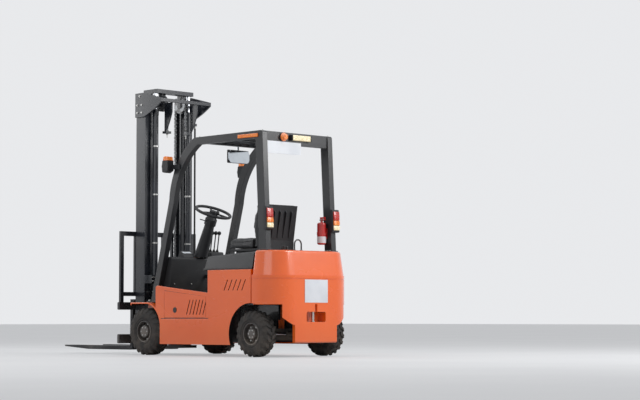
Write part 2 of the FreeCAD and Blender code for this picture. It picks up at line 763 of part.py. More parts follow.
def guard():
    """The two side frames with the cross beams and the foot plates."""
    roof = GUARD_TOP_Z
    reach = GUARD_INNER_Y + 2
    front_beam = prism([
        (GUARD_FRONT_X + 8, roof - 16),
        (GUARD_FRONT_X - 62, roof - 10),
        (GUARD_FRONT_X - 62, roof - 66),
        (GUARD_FRONT_X + 8, roof - 62),
    ], "XZ", -reach, reach)
    rear_beam = block((REAR_BEAM_FACE, REAR_BEAM_FACE + 40), (-reach, reach), (roof - 118, roof - 3))
    foot_inner = GUARD_INNER_Y - GUARD_FOOT_LAP
    front_foot = block((-150, 25), (foot_inner, GUARD_HALF_W + 14),
                       (FENDER_TOP_Z + SEAT_GAP, FENDER_TOP_Z + GUARD_FOOT_T + SEAT_GAP))
    rear_foot = block((REAR_LEG_FOOT_X - 18, REAR_LEG_FOOT_X + 95), (foot_inner, GUARD_HALF_W + 4),
                      (CW_TOP_Z + SEAT_GAP, CW_TOP_Z + REAR_LEG_FOOT_T + SEAT_GAP))
    return fuse(*both(guard_side()), front_beam, rear_beam, *both(front_foot), *both(rear_foot))


def roof_bars():
    """The roof's long bars between the front and rear beams, with one tie under them."""
    pitch = 2 * GUARD_INNER_Y / (ROOF_BARS + 1)
    high = GUARD_TOP_Z - ROOF_BAR_DROP
    x = (REAR_BEAM_FACE + 40 + SEAT_GAP, GUARD_FRONT_X - 62 - SEAT_GAP)
    bars = []
    for number in range(1, ROOF_BARS + 1):
        y = pitch * number - GUARD_INNER_Y
        bars.append(block(x, (y - ROOF_BAR_W / 2, y + ROOF_BAR_W / 2), (high - ROOF_BAR_H, high)))
    tie_x = (GUARD_REAR_X + GUARD_FRONT_X) / 2
    reach = GUARD_INNER_Y - SEAT_GAP
    bars.append(block((tie_x - ROOF_TIE_W / 2, tie_x + ROOF_TIE_W / 2), (-reach, reach),
                      (high - ROOF_BAR_H - 8, high - ROOF_BAR_H)))
    return fuse(*bars)


def rear_panel():
    """The blank white panel under the rear roof beam."""
    face = REAR_BEAM_FACE - SEAT_GAP
    return block((face - 5, face), (-45, GUARD_INNER_Y - 2), (GUARD_TOP_Z - 205, GUARD_TOP_Z - 92))


# Hood and seat

def hood_section(inset, bottom):
    """The hood's leaning box, smaller by an inset, from a height up to its sloping top."""
    front, rear = HOOD_FRONT_X - inset, HOOD_REAR_X
    half_low = HOOD_HALF_W - inset
    half_high = half_low - HOOD_TAPER
    low = [(front, -half_low), (front, half_low), (rear, half_low), (rear, -half_low)]
    base = outline(low, "XY", bottom)
    points = [
        Vec(front - HOOD_FRONT_LEAN, -half_high, HOOD_FRONT_TOP_Z - inset),
        Vec(front - HOOD_FRONT_LEAN, half_high, HOOD_FRONT_TOP_Z - inset),
        Vec(rear, half_high, HOOD_REAR_TOP_Z - inset),
        Vec(rear, -half_high, HOOD_REAR_TOP_Z - inset),
    ]
    return Part.makeLoft([base, Part.makePolygon(points + [points[0]])], True, True)


def hood():
    """The black hood: leaning sides, hollow below, a lip round its foot, seat plinth and hinge knuckles."""
    bottom = BATTERY_TOP_Z + LID_GAP
    outer = hood_section(0, bottom)
    outer = rounded(outer, 18, lambda box: box.ZMin > HOOD_FRONT_TOP_Z - 5 and
                    (box.XLength > 100 or box.XMax > HOOD_FRONT_X - HOOD_FRONT_LEAN - 10))
    lip = block((HOOD_SIDE_END_X, HOOD_FRONT_X + HOOD_LIP), (-HOOD_HALF_W - HOOD_LIP, HOOD_HALF_W + HOOD_LIP),
                (bottom, bottom + HOOD_LIP_H))
    hollow = hood_section(HOOD_WALL, bottom - 1)
    side_end = block((HOOD_REAR_X - 1, HOOD_SIDE_END_X), (-HOOD_HALF_W, HOOD_HALF_W),
                     (bottom - 1, HOOD_REAR_TOP_Z - HOOD_WALL - 10))
    plinth = block((SEAT_X[0] + 30, SEAT_X[1] - 40), (-170, 170),
                   (HOOD_FRONT_TOP_Z - 5, SEAT_TOP_Z - SEAT_PAD_T - SEAT_PAN_T))
    notch_y = (HINGE_BRACKET_Y[0] - 1, HINGE_BRACKET_Y[1] + 2)
    notch_x = (HOOD_REAR_X - 1, HINGE_X + HINGE_BARREL_R + 2)
    notch = block(notch_x, notch_y, (HINGE_Z - 20, HOOD_REAR_TOP_Z + 1))
    barrel = rod((HINGE_X, HINGE_BARREL_Y[0], HINGE_Z), (HINGE_X, HINGE_BARREL_Y[1], HINGE_Z), HINGE_BARREL_R)
    bore = rod((HINGE_X, HINGE_BARREL_Y[0] - 1, HINGE_Z), (HINGE_X, HINGE_BARREL_Y[1] + 1, HINGE_Z),
               HINGE_PIN_R + BEARING_GAP)
    grip = block((HOOD_FRONT_X - 14, HOOD_FRONT_X + HOOD_LIP + 1), (-70, 70), (bottom - 1, bottom + 26))
    shell = fuse(cut(fuse(outer, lip), hollow, side_end, grip, *both(notch)), plinth, *both(barrel))
    return cut(shell, *both(bore))


def back_front_x(z):
    """The front face of the seat's back at a height."""
    low = SEAT_TOP_Z + 60
    return SEAT_X[0] + 88 - (BACK_LEAN - 14) * (z - low) / (BACK_TOP_Z - low)


def seat_pan():
    """The seat's moulded shell under the cushion and behind the back, with ribs down its back."""
    low = SEAT_TOP_Z - SEAT_PAD_T
    foot = low - SEAT_PAN_T
    front, rear = SEAT_X[1] - 6, SEAT_X[0]
    side = [
        (front, foot + 8),
        (front, low - SEAT_GAP),
        (rear + 20, low - SEAT_GAP),
        (rear + 20, SEAT_TOP_Z),
        (rear + 20 - BACK_LEAN, BACK_TOP_Z - 20),
        (rear + 2 - BACK_LEAN, BACK_TOP_Z - 20),
        (rear - 8, SEAT_TOP_Z - 20),
        (rear - 6, foot + 20),
        (rear, foot + 6, ARC),
        (rear + 14, foot),
        (front - 14, foot),
    ]
    rib = [
        (rear, SEAT_TOP_Z - 10),
        (rear + 14 - BACK_LEAN, BACK_TOP_Z - 60),
        (rear - 8 - BACK_LEAN, BACK_TOP_Z - 90),
        (rear - 18, SEAT_TOP_Z + 10),
    ]
    ribs = [prism(rib, "XZ", y - 6, y + 6) for y in (-150, -75, 0, 75, 150)]
    return fuse(prism(side, "XZ", 10 - SEAT_HALF_W, SEAT_HALF_W - 10), *ribs)


def seat_cushion():
    """The cushion's space: raised sides, dished middle and a round front edge."""
    low, high, half = SEAT_TOP_Z - SEAT_PAD_T, SEAT_TOP_Z, SEAT_HALF_W
    section = [
        (-half, low),
        (half, low),
        (half, high - BOLSTER_H),
        (half - 24, high),
        (half - BOLSTER_W, high - 4),
        (0, high - BOLSTER_H - 4, ARC),
        (BOLSTER_W - half, high - 4),
        (24 - half, high),
        (-half, high - BOLSTER_H),
    ]
    pad = prism(section, "YZ", SEAT_X[0] + SEAT_BACK_T + 21, SEAT_X[1])
    return rounded(pad, 24, lambda box: box.XMin > SEAT_X[1] - 1 and box.ZMin > high - BOLSTER_H - 8)


def seat_back():
    """The back cushion's space with a raised wing down each side."""
    rear, foot = SEAT_X[0] + 20.5, SEAT_TOP_Z - SEAT_PAD_T + 4
    front = rear - 0.5 + SEAT_BACK_T
    side = [
        (rear, foot),
        (front, foot),
        (front, SEAT_TOP_Z),
        (back_front_x(SEAT_TOP_Z + 60), SEAT_TOP_Z + 60),
        (back_front_x(BACK_TOP_Z), BACK_TOP_Z),
        (rear + 0.1 - BACK_LEAN, BACK_TOP_Z),
        (rear, SEAT_TOP_Z),
    ]
    pad = prism(side, "XZ", -SEAT_HALF_W, SEAT_HALF_W)
    pad = rounded(pad, 16, lambda box: box.ZMin > BACK_TOP_Z - 1)
    low_z, high_z = SEAT_TOP_Z + 40, BACK_TOP_Z - 50
    wing = [
        (back_front_x(low_z) - 30, low_z),
        (back_front_x(low_z + 60) + BOLSTER_H, low_z + 60),
        (back_front_x(high_z - 60) + BOLSTER_H, high_z - 60),
        (back_front_x(high_z) - 10, high_z),
    ]
    wings = both(prism(wing, "XZ", SEAT_HALF_W - BOLSTER_W, SEAT_HALF_W - 4))
    return fuse(pad, *wings)


# Controls

def along_column(distance, y=0.0):
    """A point on the steering column's axis."""
    foot, head = Vec(COLUMN_FOOT[0], y, COLUMN_FOOT[1]), Vec(WHEEL_CENTRE[0], y, WHEEL_CENTRE[1])
    way = (head - foot).normalize()
    return foot + way * distance


def column():
    """The covered steering column with its round pod and stalk under the wheel."""
    foot, head = along_column(36), along_column(COLUMN_LENGTH - 40)
    way = (head - foot).normalize()
    tube = Part.makeCone(COLUMN_R + 26, COLUMN_R, (head - foot).Length, foot, way)
    pod_start = along_column(COLUMN_LENGTH - 132)
    pod = Part.makeCylinder(COLUMN_R + 16, 60, pod_start, way)
    collar = Part.makeCone(COLUMN_R + 16, COLUMN_R - 4, 30, pod_start + way * 60, way)
    shaft = Part.makeCylinder(COLUMN_SHAFT_R, 38, along_column(COLUMN_LENGTH - 42), way)
    stalk_from = pod_start + way * 34
    stalk = rod((stalk_from.x, COLUMN_R, stalk_from.z), (stalk_from.x, COLUMN_R + 95, stalk_from.z + 18), 5)
    body = fuse(tube, pod, collar)
    body = body.cut(block((-400, 0), (-100, 100), (COWL_TOP_Z - 150, COWL_TOP_Z + SEAT_GAP)))
    return fuse(body, shaft, stalk)


def handwheel():
    """The steering wheel: rim, three spokes, hub and spinner knob."""
    centre = along_column(COLUMN_LENGTH)
    way = (centre - along_column(0)).normalize()
    rim = Part.makeTorus(HANDWHEEL_R, HANDWHEEL_TUBE_R, centre, way)
    hub_r = 36
    hub = Part.makeCylinder(hub_r, 44, centre - way * 34, way)
    hub = hub.cut(Part.makeCylinder(COLUMN_SHAFT_R + BEARING_GAP, 32, centre - way * 35, way))
    parts = [rim, hub]
    for degrees in (0, 120, 240):
        arm = FreeCAD.Rotation(way, degrees).multVec(Y_AXIS)
        root = centre - way * 6 + arm * (hub_r - 12)
        parts.append(Part.makeCylinder(9, HANDWHEEL_R - hub_r + 12, root, arm))
    knob_at = centre + FreeCAD.Rotation(way, 60).multVec(Y_AXIS) * HANDWHEEL_R
    parts.append(Part.makeCylinder(9, 30, knob_at, way))
    parts.append(Part.makeSphere(21, knob_at + way * 42))
    return fuse(*parts)


def levers():
    """The hydraulic levers with boots and round knobs on a small console."""
    low, high = COWL_TOP_Z + SEAT_GAP, COWL_TOP_Z + 60
    console = block((-262, -150), (min(LEVER_YS) - 35, max(LEVER_YS) + 35), (low, high))
    parts = [rounded(console, 14, lambda box: box.ZMin > high - 1)]
    foot_x, knob_x, knob_z = -205, -237, 1197
    for y in LEVER_YS:
        parts.append(Part.makeCone(17, 8, 28, Vec(foot_x, y, high - 2), Vec(-4, 0, 24)))
        parts.append(rod((foot_x, y, high - 10), (knob_x + 2, y, knob_z - 12), 6))
        parts.append(Part.makeSphere(20, Vec(knob_x, y, knob_z)))
    return fuse(*parts)


def pedals():
    """The two pedals on their bent arms above the floor."""
    arm = [(-232.8, 750), (-235.3, 786), (-300, 774), (-384, 704), (-372, 688), (-300, 744)]
    pad = [(-345, 741), (-353, 747), (-414, 678), (-406, 672)]
    arm_half, pad_half = 6, 38
    parts = []
    for y in PEDAL_YS:
        lever = prism(arm, "XZ", y - arm_half, y + arm_half)
        parts.append(fuse(lever, prism(pad, "XZ", y - pad_half, y + pad_half)))
    return parts


# Lamps and small fittings

def front_lamps():
    """The head lamps at the guard's front legs: arm, housing, bezel and round glass."""
    inner, outer = GUARD_HALF_W + SEAT_GAP, GUARD_HALF_W + HEAD_LAMP_W
    rear_x, front_x = HEAD_LAMP_X
    low, high = HEAD_LAMP_Z
    middle_y, middle_z = (inner + outer) / 2, (low + high) / 2 + 3
    arm = block((rear_x - 100, rear_x + 45), (inner, GUARD_HALF_W + 12), (low + 33, low + 78))
    shell = prism([
        (rear_x + 45, low),
        (front_x, low + 8),
        (front_x + 6, middle_z - 3, ARC),
        (front_x, high - 6),
        (front_x - 8, high),
        (rear_x, high),
        (rear_x, low + 20),
    ], "XZ", inner, outer)
    face = front_x + 12
    bezel = rod((front_x - 7, middle_y, middle_z), (face, middle_y, middle_z), HEAD_LAMP_R + 3)
    glass = Part.makeCone(HEAD_LAMP_R - 4, HEAD_LAMP_R - 14, 6, Vec(face, middle_y, middle_z), X_AXIS)
    return both(fuse(arm, shell, bezel, glass))


def turn_lamps():
    """The amber lamps: the turn lamps on the head lamps and the side markers on the roof rails."""
    low = HEAD_LAMP_Z[1] + SEAT_GAP
    rear_x, front_x = HEAD_LAMP_X[0] + 2, HEAD_LAMP_X[1] - 2
    middle_x = (rear_x + front_x) / 2
    top = low + 32
    dome = [(rear_x, low), (front_x, low), (front_x - 5, top), (middle_x, low + 40, ARC), (rear_x + 5, top)]
    lamp = prism(dome, "XZ", GUARD_HALF_W + 6, GUARD_HALF_W + HEAD_LAMP_W - 6)
    marker_z = (GUARD_TOP_Z - 60, GUARD_TOP_Z - 26)
    marker_y = (GUARD_HALF_W + SEAT_GAP, GUARD_HALF_W + 14)
    marker = block(MARKER_X, marker_y, marker_z)
    marker = rounded(marker, 8, lambda box: box.YMin > marker_y[1] - 1)
    return both(lamp) + both(marker)


def leg_back(z):
    """The rear face of the guard's rear legs at a height."""
    low_z, high_z = CW_TOP_Z + REAR_LEG_FOOT_T, GUARD_TOP_Z - 30
    return REAR_LEG_FOOT_X + (GUARD_REAR_X - 4 - REAR_LEG_FOOT_X) * (z - low_z) / (high_z - low_z)


def rear_lamps():
    """The left rear lamp housing on the back of the guard's rear leg, with round upright edges."""
    low, high = REAR_LAMP_Z
    profile = [  # height, how far it stands off the leg
        (low, SEAT_GAP), (low + 3, REAR_LAMP_DEPTH - 8), (low + 13, REAR_LAMP_DEPTH),
        (high - 10, REAR_LAMP_DEPTH), (high, REAR_LAMP_DEPTH - 8), (high, SEAT_GAP),
    ]
    shell = prism([(leg_back(z) - off, z) for z, off in profile], "XZ", GUARD_HALF_W - 68, GUARD_HALF_W + 24)
    return rounded(shell, 7, lambda box: box.ZLength > 0.8 * (high - low) and box.XMin < leg_back(low) - 9)


def rear_lenses():
    """The lenses in front of the rear lamp housings."""
    low, high = REAR_LAMP_Z[0] + 18, REAR_LAMP_Z[1] - 16
    face = REAR_LAMP_DEPTH + SEAT_GAP
    profile = [(low, face), (low + 6, face + REAR_LENS_T), (high - 6, face + REAR_LENS_T), (high, face)]
    lens = prism([(leg_back(z) - off, z) for z, off in profile], "XZ", GUARD_HALF_W - 60, GUARD_HALF_W + 16)
    return both(lens)


def mirror():
    """The round-cornered rear view mirror on its stalk under the front beam."""
    glass = block(MIRROR_X, MIRROR_Y, MIRROR_Z)
    glass = rounded(glass, 40, lambda box: box.XLength > 20)
    stalk_x, stalk_y = MIRROR_X[0] + 18, (MIRROR_Y[0] + MIRROR_Y[1]) / 2
    beam_under = GUARD_TOP_Z - 63.6
    stalk = rod((stalk_x, stalk_y, MIRROR_Z[1] - 10), (stalk_x, stalk_y, beam_under - SEAT_GAP), 9)
    return fuse(glass, stalk)


def beacon():
    """The amber flashing lamp on the back of the rear roof beam."""
    face, z = REAR_BEAM_FACE - SEAT_GAP, GUARD_TOP_Z - 48
    base = rod((face, BEACON_Y, z), (face - 14, BEACON_Y, z), BEACON_R)
    dome = Part.makeCone(BEACON_R - 2, BEACON_R - 14, 34, Vec(face - 12, BEACON_Y, z), -X_AXIS)
    return rounded(fuse(base, dome), 8, lambda box: box.XMax < face - 44)


def work_lamp():
    """The long work lamp on the back of the rear roof beam."""
    face = REAR_BEAM_FACE - SEAT_GAP
    shell = block((face - WORK_LAMP_T, face), WORK_LAMP_Y, (GUARD_TOP_Z - 74, GUARD_TOP_Z - 22))
    return rounded(shell, 9, lambda box: box.XMax < face - WORK_LAMP_T + 4)


def extinguisher():
    """The fire extinguisher and its band on the right rear leg."""
    seat_y = SEAT_GAP - GUARD_INNER_Y
    y, x = seat_y + EXTINGUISHER_R + 5, EXTINGUISHER_X
    low, shoulder = EXTINGUISHER_Z
    middle = (low + shoulder) / 2
    body = rounded(rod((x, y, low), (x, y, shoulder), EXTINGUISHER_R), 20, lambda box: True)
    neck = rod((x, y, shoulder - 7), (x, y, shoulder + 38), 12)
    grip = block((x - 45, x + 14), (y - 8, y + 8), (shoulder + 34, shoulder + 50))
    trigger = prism([(x - 12, shoulder + 14), (x - 52, shoulder + 24), (x - 52, shoulder + 29),
                     (x - 10, shoulder + 26)], "XZ", y - 7, y + 7)
    band = ring((x, y, middle - 15), (x, y, middle + 15), EXTINGUISHER_R + 3, EXTINGUISHER_R - 1)
    bracket = block((x - 30, x + 8), (seat_y, y - EXTINGUISHER_R + 6), (middle - 50, middle + 50))
    return fuse(body, neck, grip, trigger, band, bracket)


# Wheels

def flat_ring(across, y):
    """A many-sided wire round a wheel's axle, with a flat at the bottom at the given radius."""
    sides = 2 * TYRE_LUGS
    radius = across / math.cos(math.pi / sides)
    points = []
    for number in range(sides):
        angle = math.pi * (2 * number + 1) / sides - math.pi / 2
        points.append(Vec(radius * math.cos(angle), y, radius * math.sin(angle)))
    return Part.makePolygon(points + [points[0]])


def tyre(radius, width, centre):
    """A solid tyre: flat-sided tread, sloping shoulders and a gap between the lugs of each shoulder."""
    inner, outer = HALF_TRACK - width / 2, HALF_TRACK + width / 2
    sections = [  # radius, place along the axle
        (radius - SHOULDER_DROP, inner), (radius, inner + SHOULDER_W),
        (radius, outer - SHOULDER_W), (radius - SHOULDER_DROP, outer),
    ]
    carcass = Part.makeLoft([flat_ring(across, y) for across, y in sections], True, True)
    gaps = []
    for edge, way, first in ((outer, -1, 0), (inner, 1, 1)):
        deep = [
            (edge + way * LUG_REACH, radius + 5),
            (edge + way * LUG_REACH, radius - LUG_DEPTH),
            (edge - way, radius - SHOULDER_DROP - 2),
            (edge - way, radius + 5),
        ]
        for number in range(TYRE_LUGS):
            gap = prism(deep, "YZ", -LUG_GAP / 2, LUG_GAP / 2)
            gap.rotate(ORIGIN, Y_AXIS, 360 * (number + first / 2) / TYRE_LUGS)
            gaps.append(gap)
    bore = rod((0, inner - 1, 0), (0, outer + 1, 0), RIM_R)
    solid = cut(carcass, bore, Part.makeCompound(gaps))
    solid.translate(Vec(centre[0], 0, centre[1]))
    return solid


def rim(width, centre, spindle_r):
    """A pressed rim: barrel, dished disc and hub with its bore."""
    y, half = HALF_TRACK, width / 2
    inner, outer = y - half, y + half
    barrel = RIM_R - RIM_WALL
    bore = spindle_r + BEARING_GAP
    hub = spindle_r + 22
    return turned([
        (RIM_R, inner + RIM_INSET),
        (RIM_R, outer - RIM_INSET),
        (barrel, outer - RIM_INSET),
        (barrel, y + 10),
        (hub + 8, y + 22),
        (hub, outer - 14),
        (14, outer - 10),
        (0, outer - 10),
        (0, outer - 22),
        (bore, outer - 22),
        (bore, inner + 24),
        (hub, inner + 24),
        (hub + 8, y + 8),
        (barrel, y - 4),
        (barrel, inner + RIM_INSET),
    ], centre)


def drive_axle():
    """The front axle tube with its gear case, brakes, two motors and spindles."""
    z = FRONT_TYRE_R
    inner = FRAME_RAIL_Y - SEAT_GAP
    motor_x, motor_z = MOTOR_OFFSET[0], z + MOTOR_OFFSET[1]
    spindle_end = HALF_TRACK + FRONT_TYRE_W / 2 - SPINDLE_INSET - 0.5
    flange = GEAR_CASE_R + 8
    parts = [
        rod((0, -inner, z), (0, inner, z), AXLE_R),
        rod((0, -GEAR_CASE_HALF_W, z), (0, GEAR_CASE_HALF_W, z), GEAR_CASE_R),
        rod((0, -9, z), (0, 9, z), flange),
    ]
    for side in (-1, 1):
        motor = rod((motor_x, side * MOTOR_Y[0], motor_z), (motor_x, side * MOTOR_Y[1], motor_z), MOTOR_R)
        parts.append(rounded(motor, 10, lambda box: True))
        for number in range(4):  # cooling ribs round the motor
            rib = side * (MOTOR_Y[0] + 50 + 36 * number)
            parts.append(rod((motor_x, rib, motor_z), (motor_x, rib + side * 8, motor_z), MOTOR_R + 4))
        parts.append(block((motor_x, 0), (side * 150, side * 180), (z - 30, z + 60)))
        parts.append(rod((0, side * (inner - BRAKE_W), z), (0, side * inner, z), BRAKE_R))
        parts.append(rod((0, side * (inner - 20), z), (0, side * spindle_end, z), FRONT_SPINDLE_R))
    return fuse(*parts)


def steer_axle():
    """The rear axle beam with yokes, kingpins and the steering cylinder's barrel."""
    z = REAR_TYRE_R
    low, high = z - YOKE_Z[0], z + YOKE_Z[0] - SEAT_GAP
    waist = AXLE_BEAM_HALF_W - 110
    beam = prism([
        (-AXLE_BEAM_HALF_W, low), (-waist, low - 14), (waist, low - 14), (AXLE_BEAM_HALF_W, low),
        (AXLE_BEAM_HALF_W, high), (-AXLE_BEAM_HALF_W, high),
    ], "YZ", REAR_X - AXLE_BEAM_HALF_T, REAR_X + AXLE_BEAM_HALF_T)
    parts = [beam]
    root = AXLE_BEAM_HALF_W - 25
    for side in (-1, 1):
        y = side * KINGPIN_Y
        for bottom, top in ((z - YOKE_Z[1], z - YOKE_Z[0]), (z + YOKE_Z[0], z + YOKE_Z[1])):
            plate = block((REAR_X - YOKE_R, REAR_X + YOKE_R), (side * root, y), (bottom, top))
            parts.append(fuse(plate, rod((REAR_X, y, bottom), (REAR_X, y, top), YOKE_R)))
        parts.append(block((REAR_X - 5, REAR_X + YOKE_R), (side * root, side * 290),
                           (z - YOKE_Z[1], z + YOKE_Z[1])))
        parts.append(rod((REAR_X, y, z - YOKE_Z[1] - 2), (REAR_X, y, z + YOKE_Z[1] + 2), KINGPIN_R))
    axis_x = REAR_X - STEER_ARM
    start, end = (axis_x, -STEER_BARREL_HALF, z), (axis_x, STEER_BARREL_HALF, z)
    barrel = ring(start, end, STEER_BARREL_R, STEER_ROD_R + BEARING_GAP)
    mount = block((REAR_X - 48, REAR_X - AXLE_BEAM_HALF_T + 2), (-110, 110), (z - 20, z + 20))
    return fuse(*parts, mount.cut(rod(start, end, STEER_ROD_R + 2)), barrel)


def steer_rod():
    """The steering cylinder's through rod with an eye at each end."""
    z = REAR_TYRE_R
    axis_x = REAR_X - STEER_ARM
    reach = KINGPIN_Y - 10
    bar = rod((axis_x, -reach, z), (axis_x, reach, z), STEER_ROD_R)
    low, high = z - STEER_EYE_HALF, z + STEER_EYE_HALF
    eyes = both(rod((axis_x, KINGPIN_Y, low), (axis_x, KINGPIN_Y, high), STEER_EYE_R))
    bores = both(rod((axis_x, KINGPIN_Y, low - 1), (axis_x, KINGPIN_Y, high + 1), 8))
    return cut(fuse(bar, *eyes), *bores)


def knuckle():
    """The left steering knuckle: kingpin boss, spindle and steering arm."""
    z = REAR_TYRE_R
    half = KNUCKLE_BOSS_HALF
    boss = rod((REAR_X, KINGPIN_Y, z - half), (REAR_X, KINGPIN_Y, z + half), KNUCKLE_BOSS_R)
    tip = HALF_TRACK + REAR_TYRE_W / 2 - SPINDLE_INSET
    spindle = rod((REAR_X, KINGPIN_Y, z), (REAR_X, tip, z), REAR_SPINDLE_R)
    arm = block((REAR_X - STEER_ARM, REAR_X), (KINGPIN_Y - 12, KINGPIN_Y + 12), STEER_ARM_Z)
    eye_x = REAR_X - STEER_ARM
    eye = rod((eye_x, KINGPIN_Y, STEER_ARM_Z[0]), (eye_x, KINGPIN_Y, STEER_ARM_Z[1]), STEER_EYE_R)
    stub = rod((eye_x, KINGPIN_Y, STEER_ARM_Z[0]), (eye_x, KINGPIN_Y, z - STEER_EYE_HALF - 1), 6)
    bore = rod((REAR_X, KINGPIN_Y, z - half - 4), (REAR_X, KINGPIN_Y, z + half + 4), KINGPIN_R + BEARING_GAP)
    return fuse(boss, spindle, arm, eye, stub).cut(bore)


# Mast

def outer_rail():
    """The left outer rail with its top wing, tilt lugs and top roller."""
    rear, front = MAST_REAR_X, MAST_FRONT_X
    web = OUTER_Y - OUTER_WEB_T
    section = [
        (rear, OUTER_FLANGE_Y), (rear, OUTER_Y), (front, OUTER_Y), (front, OUTER_FLANGE_Y),
        (front - OUTER_FLANGE_T, OUTER_FLANGE_Y), (front - OUTER_FLANGE_T, web),
        (rear + OUTER_FLANGE_T, web), (rear + OUTER_FLANGE_T, OUTER_FLANGE_Y),
    ]
    foot_z = OUTER_BOTTOM_Z + FOOT_PLATE_T
    wing_end = TIE_X - 12
    wing = [
        (front, OUTER_TOP_Z - 150),
        (front, OUTER_TOP_Z + 90),
        (rear + 20, OUTER_TOP_Z + 92),
        (wing_end, OUTER_TOP_Z + 22),
        (wing_end, OUTER_TOP_Z - 16),
        (120, OUTER_TOP_Z - 92, ARC),
        (rear, OUTER_TOP_Z - 145),
        (rear + 30, OUTER_TOP_Z - 150),
    ]
    lug_y, lug_r = (262, 288), 38
    y, x = TILT_CYL_Y, TILT_LUG[0]
    lug_half, reach = 26, TILT_LUG_GAP + TILT_LUG_T
    roller_z = OUTER_TOP_Z - OUTER_ROLLER_DROP
    channel = INNER_WEB_Y + INNER_WEB_T + 2
    parts = [
        prism(section, "XY", foot_z, OUTER_TOP_Z),
        prism(wing, "XZ", OUTER_Y, OUTER_Y + WING_T),
        block((TILT_X, rear + 5), lug_y, (TILT_Z - lug_r, TILT_Z + lug_r)),
        rod((TILT_X, lug_y[0], TILT_Z), (TILT_X, lug_y[1], TILT_Z), lug_r),
        rod((x, y - reach, TILT_LUG[1]), (x, y + reach, TILT_LUG[1]), TILT_PIN_SMALL_R),
        rod((MAST_MID_X, channel, roller_z), (MAST_MID_X, INNER_Y + 1, roller_z), OUTER_ROLLER_R),
        rod((MAST_MID_X, INNER_Y, roller_z), (MAST_MID_X, web + 1, roller_z), OUTER_ROLLER_R - 9),
    ]
    for near in (y - reach, y + TILT_LUG_GAP):
        parts.append(block((x - 24, rear + 5), (near, near + TILT_LUG_T),
                           (TILT_LUG[1] - lug_half, TILT_LUG[1] + lug_half)))
    bore = rod((TILT_X, lug_y[0] - 12, TILT_Z), (TILT_X, lug_y[1] + 12, TILT_Z), TILT_PIN_R + BEARING_GAP)
    return fuse(*parts).cut(bore)


def mast_ties():
    """What joins the outer rails: foot plate, lower tie, top bar with its horns and chain anchors."""
    foot_z = (OUTER_BOTTOM_Z, OUTER_BOTTOM_Z + FOOT_PLATE_T)
    foot = block((FOOT_PLATE_X, MAST_FRONT_X), (-OUTER_Y, OUTER_Y), foot_z)
    arm_inner = OUTER_Y - OUTER_WEB_T
    tie = fuse(block(LOWER_TIE_X, (-OUTER_Y, OUTER_Y), LOWER_TIE_Z),
               *both(block((LOWER_TIE_X[0], MAST_REAR_X), (arm_inner, OUTER_Y), LOWER_TIE_Z)))
    bar = block((TIE_X - 15, TIE_X + 13), (-OUTER_Y, OUTER_Y), TIE_Z)
    low = CHAIN_REAR_END_Z - SEAT_GAP
    horn = [
        (TIE_X + 10, TIE_Z[0] + 2),
        (TIE_X + 12, TIE_Z[0] - 86),
        (50, TIE_Z[0] - 186, ARC),
        (95, low + 10),
        (95, low - ANCHOR_T),
        (HORN_FRONT_X, low - ANCHOR_T),
        (HORN_FRONT_X, TIE_Z[0] + 2),
    ]
    anchor_y = (SHEAVE_Y - CHAIN_W / 2 - 3, HORN_Y[1])
    anchor = block((95, SHEAVE_X - SHEAVE_R + 8), anchor_y, (low - ANCHOR_T, low))
    return foot, tie, fuse(bar, *both(anchor), *both(prism(horn, "XZ", *HORN_Y)))


def inner_mast():
    """The inner rails with their guide rollers, bottom tie and crosshead."""
    rear = MAST_MID_X - INNER_DEPTH / 2
    front = MAST_MID_X + INNER_DEPTH / 2
    web = (INNER_WEB_Y, INNER_WEB_Y + INNER_WEB_T)
    inside = (rear + INNER_FLANGE_T, front - INNER_FLANGE_T)
    section = [
        (rear, INNER_FLANGE_Y), (rear, INNER_Y), (inside[0], INNER_Y),
        (inside[0], web[1]), (inside[1], web[1]), (inside[1], INNER_Y),
        (front, INNER_Y), (front, INNER_FLANGE_Y), (inside[1], INNER_FLANGE_Y),
        (inside[1], web[0]), (inside[0], web[0]), (inside[0], INNER_FLANGE_Y),
    ]
    parts = both(prism(section, "XY", INNER_BOTTOM_Z, INNER_TOP_Z))
    roller_z = INNER_BOTTOM_Z + 62
    roller_y = (OUTER_FLANGE_Y + 6, OUTER_Y - OUTER_WEB_T - 4)
    parts += both(rod((MAST_MID_X, web[1] - 1, roller_z), (MAST_MID_X, roller_y[0], roller_z), 18))
    roller_start, roller_end = [(MAST_MID_X, y, roller_z) for y in roller_y]
    parts += both(rod(roller_start, roller_end, GUIDE_ROLLER_R))
    tie_z = (INNER_BOTTOM_Z + 10, INNER_BOTTOM_Z + 110)
    parts.append(block((rear, rear + 16), (-INNER_WEB_Y, INNER_WEB_Y), tie_z))
    head = (CROSSHEAD_Z - CROSSHEAD_T, CROSSHEAD_Z)
    parts.append(block(CROSSHEAD_X, (-INNER_Y - 5, INNER_Y + 5), head))
    cheek = [
        (CROSSHEAD_X[0], head[0]),
        (CROSSHEAD_X[0], head[1]),
        (front, head[1]),
        (front, INNER_TOP_Z - 70),
        (rear, INNER_TOP_Z - 70),
        (CROSSHEAD_X[1], head[0]),
    ]
    parts += both(prism(cheek, "XZ", INNER_Y - 14, INNER_Y + 3))
    pin_end = SHEAVE_Y + CHAIN_W - 2
    for side in (-1, 1):
        for y in (SHEAVE_Y - 25, SHEAVE_Y + 17):
            parts.append(block((SHEAVE_X - 24, SHEAVE_X + 24), (side * y, side * (y + 8)),
                               (SHEAVE_Z - 26, head[0] + 2)))
        start = side * (SHEAVE_Y - CHAIN_W + 2)
        parts.append(rod((SHEAVE_X, start, SHEAVE_Z), (SHEAVE_X, side * pin_end, SHEAVE_Z), SHEAVE_PIN_R))
    return fuse(*parts)


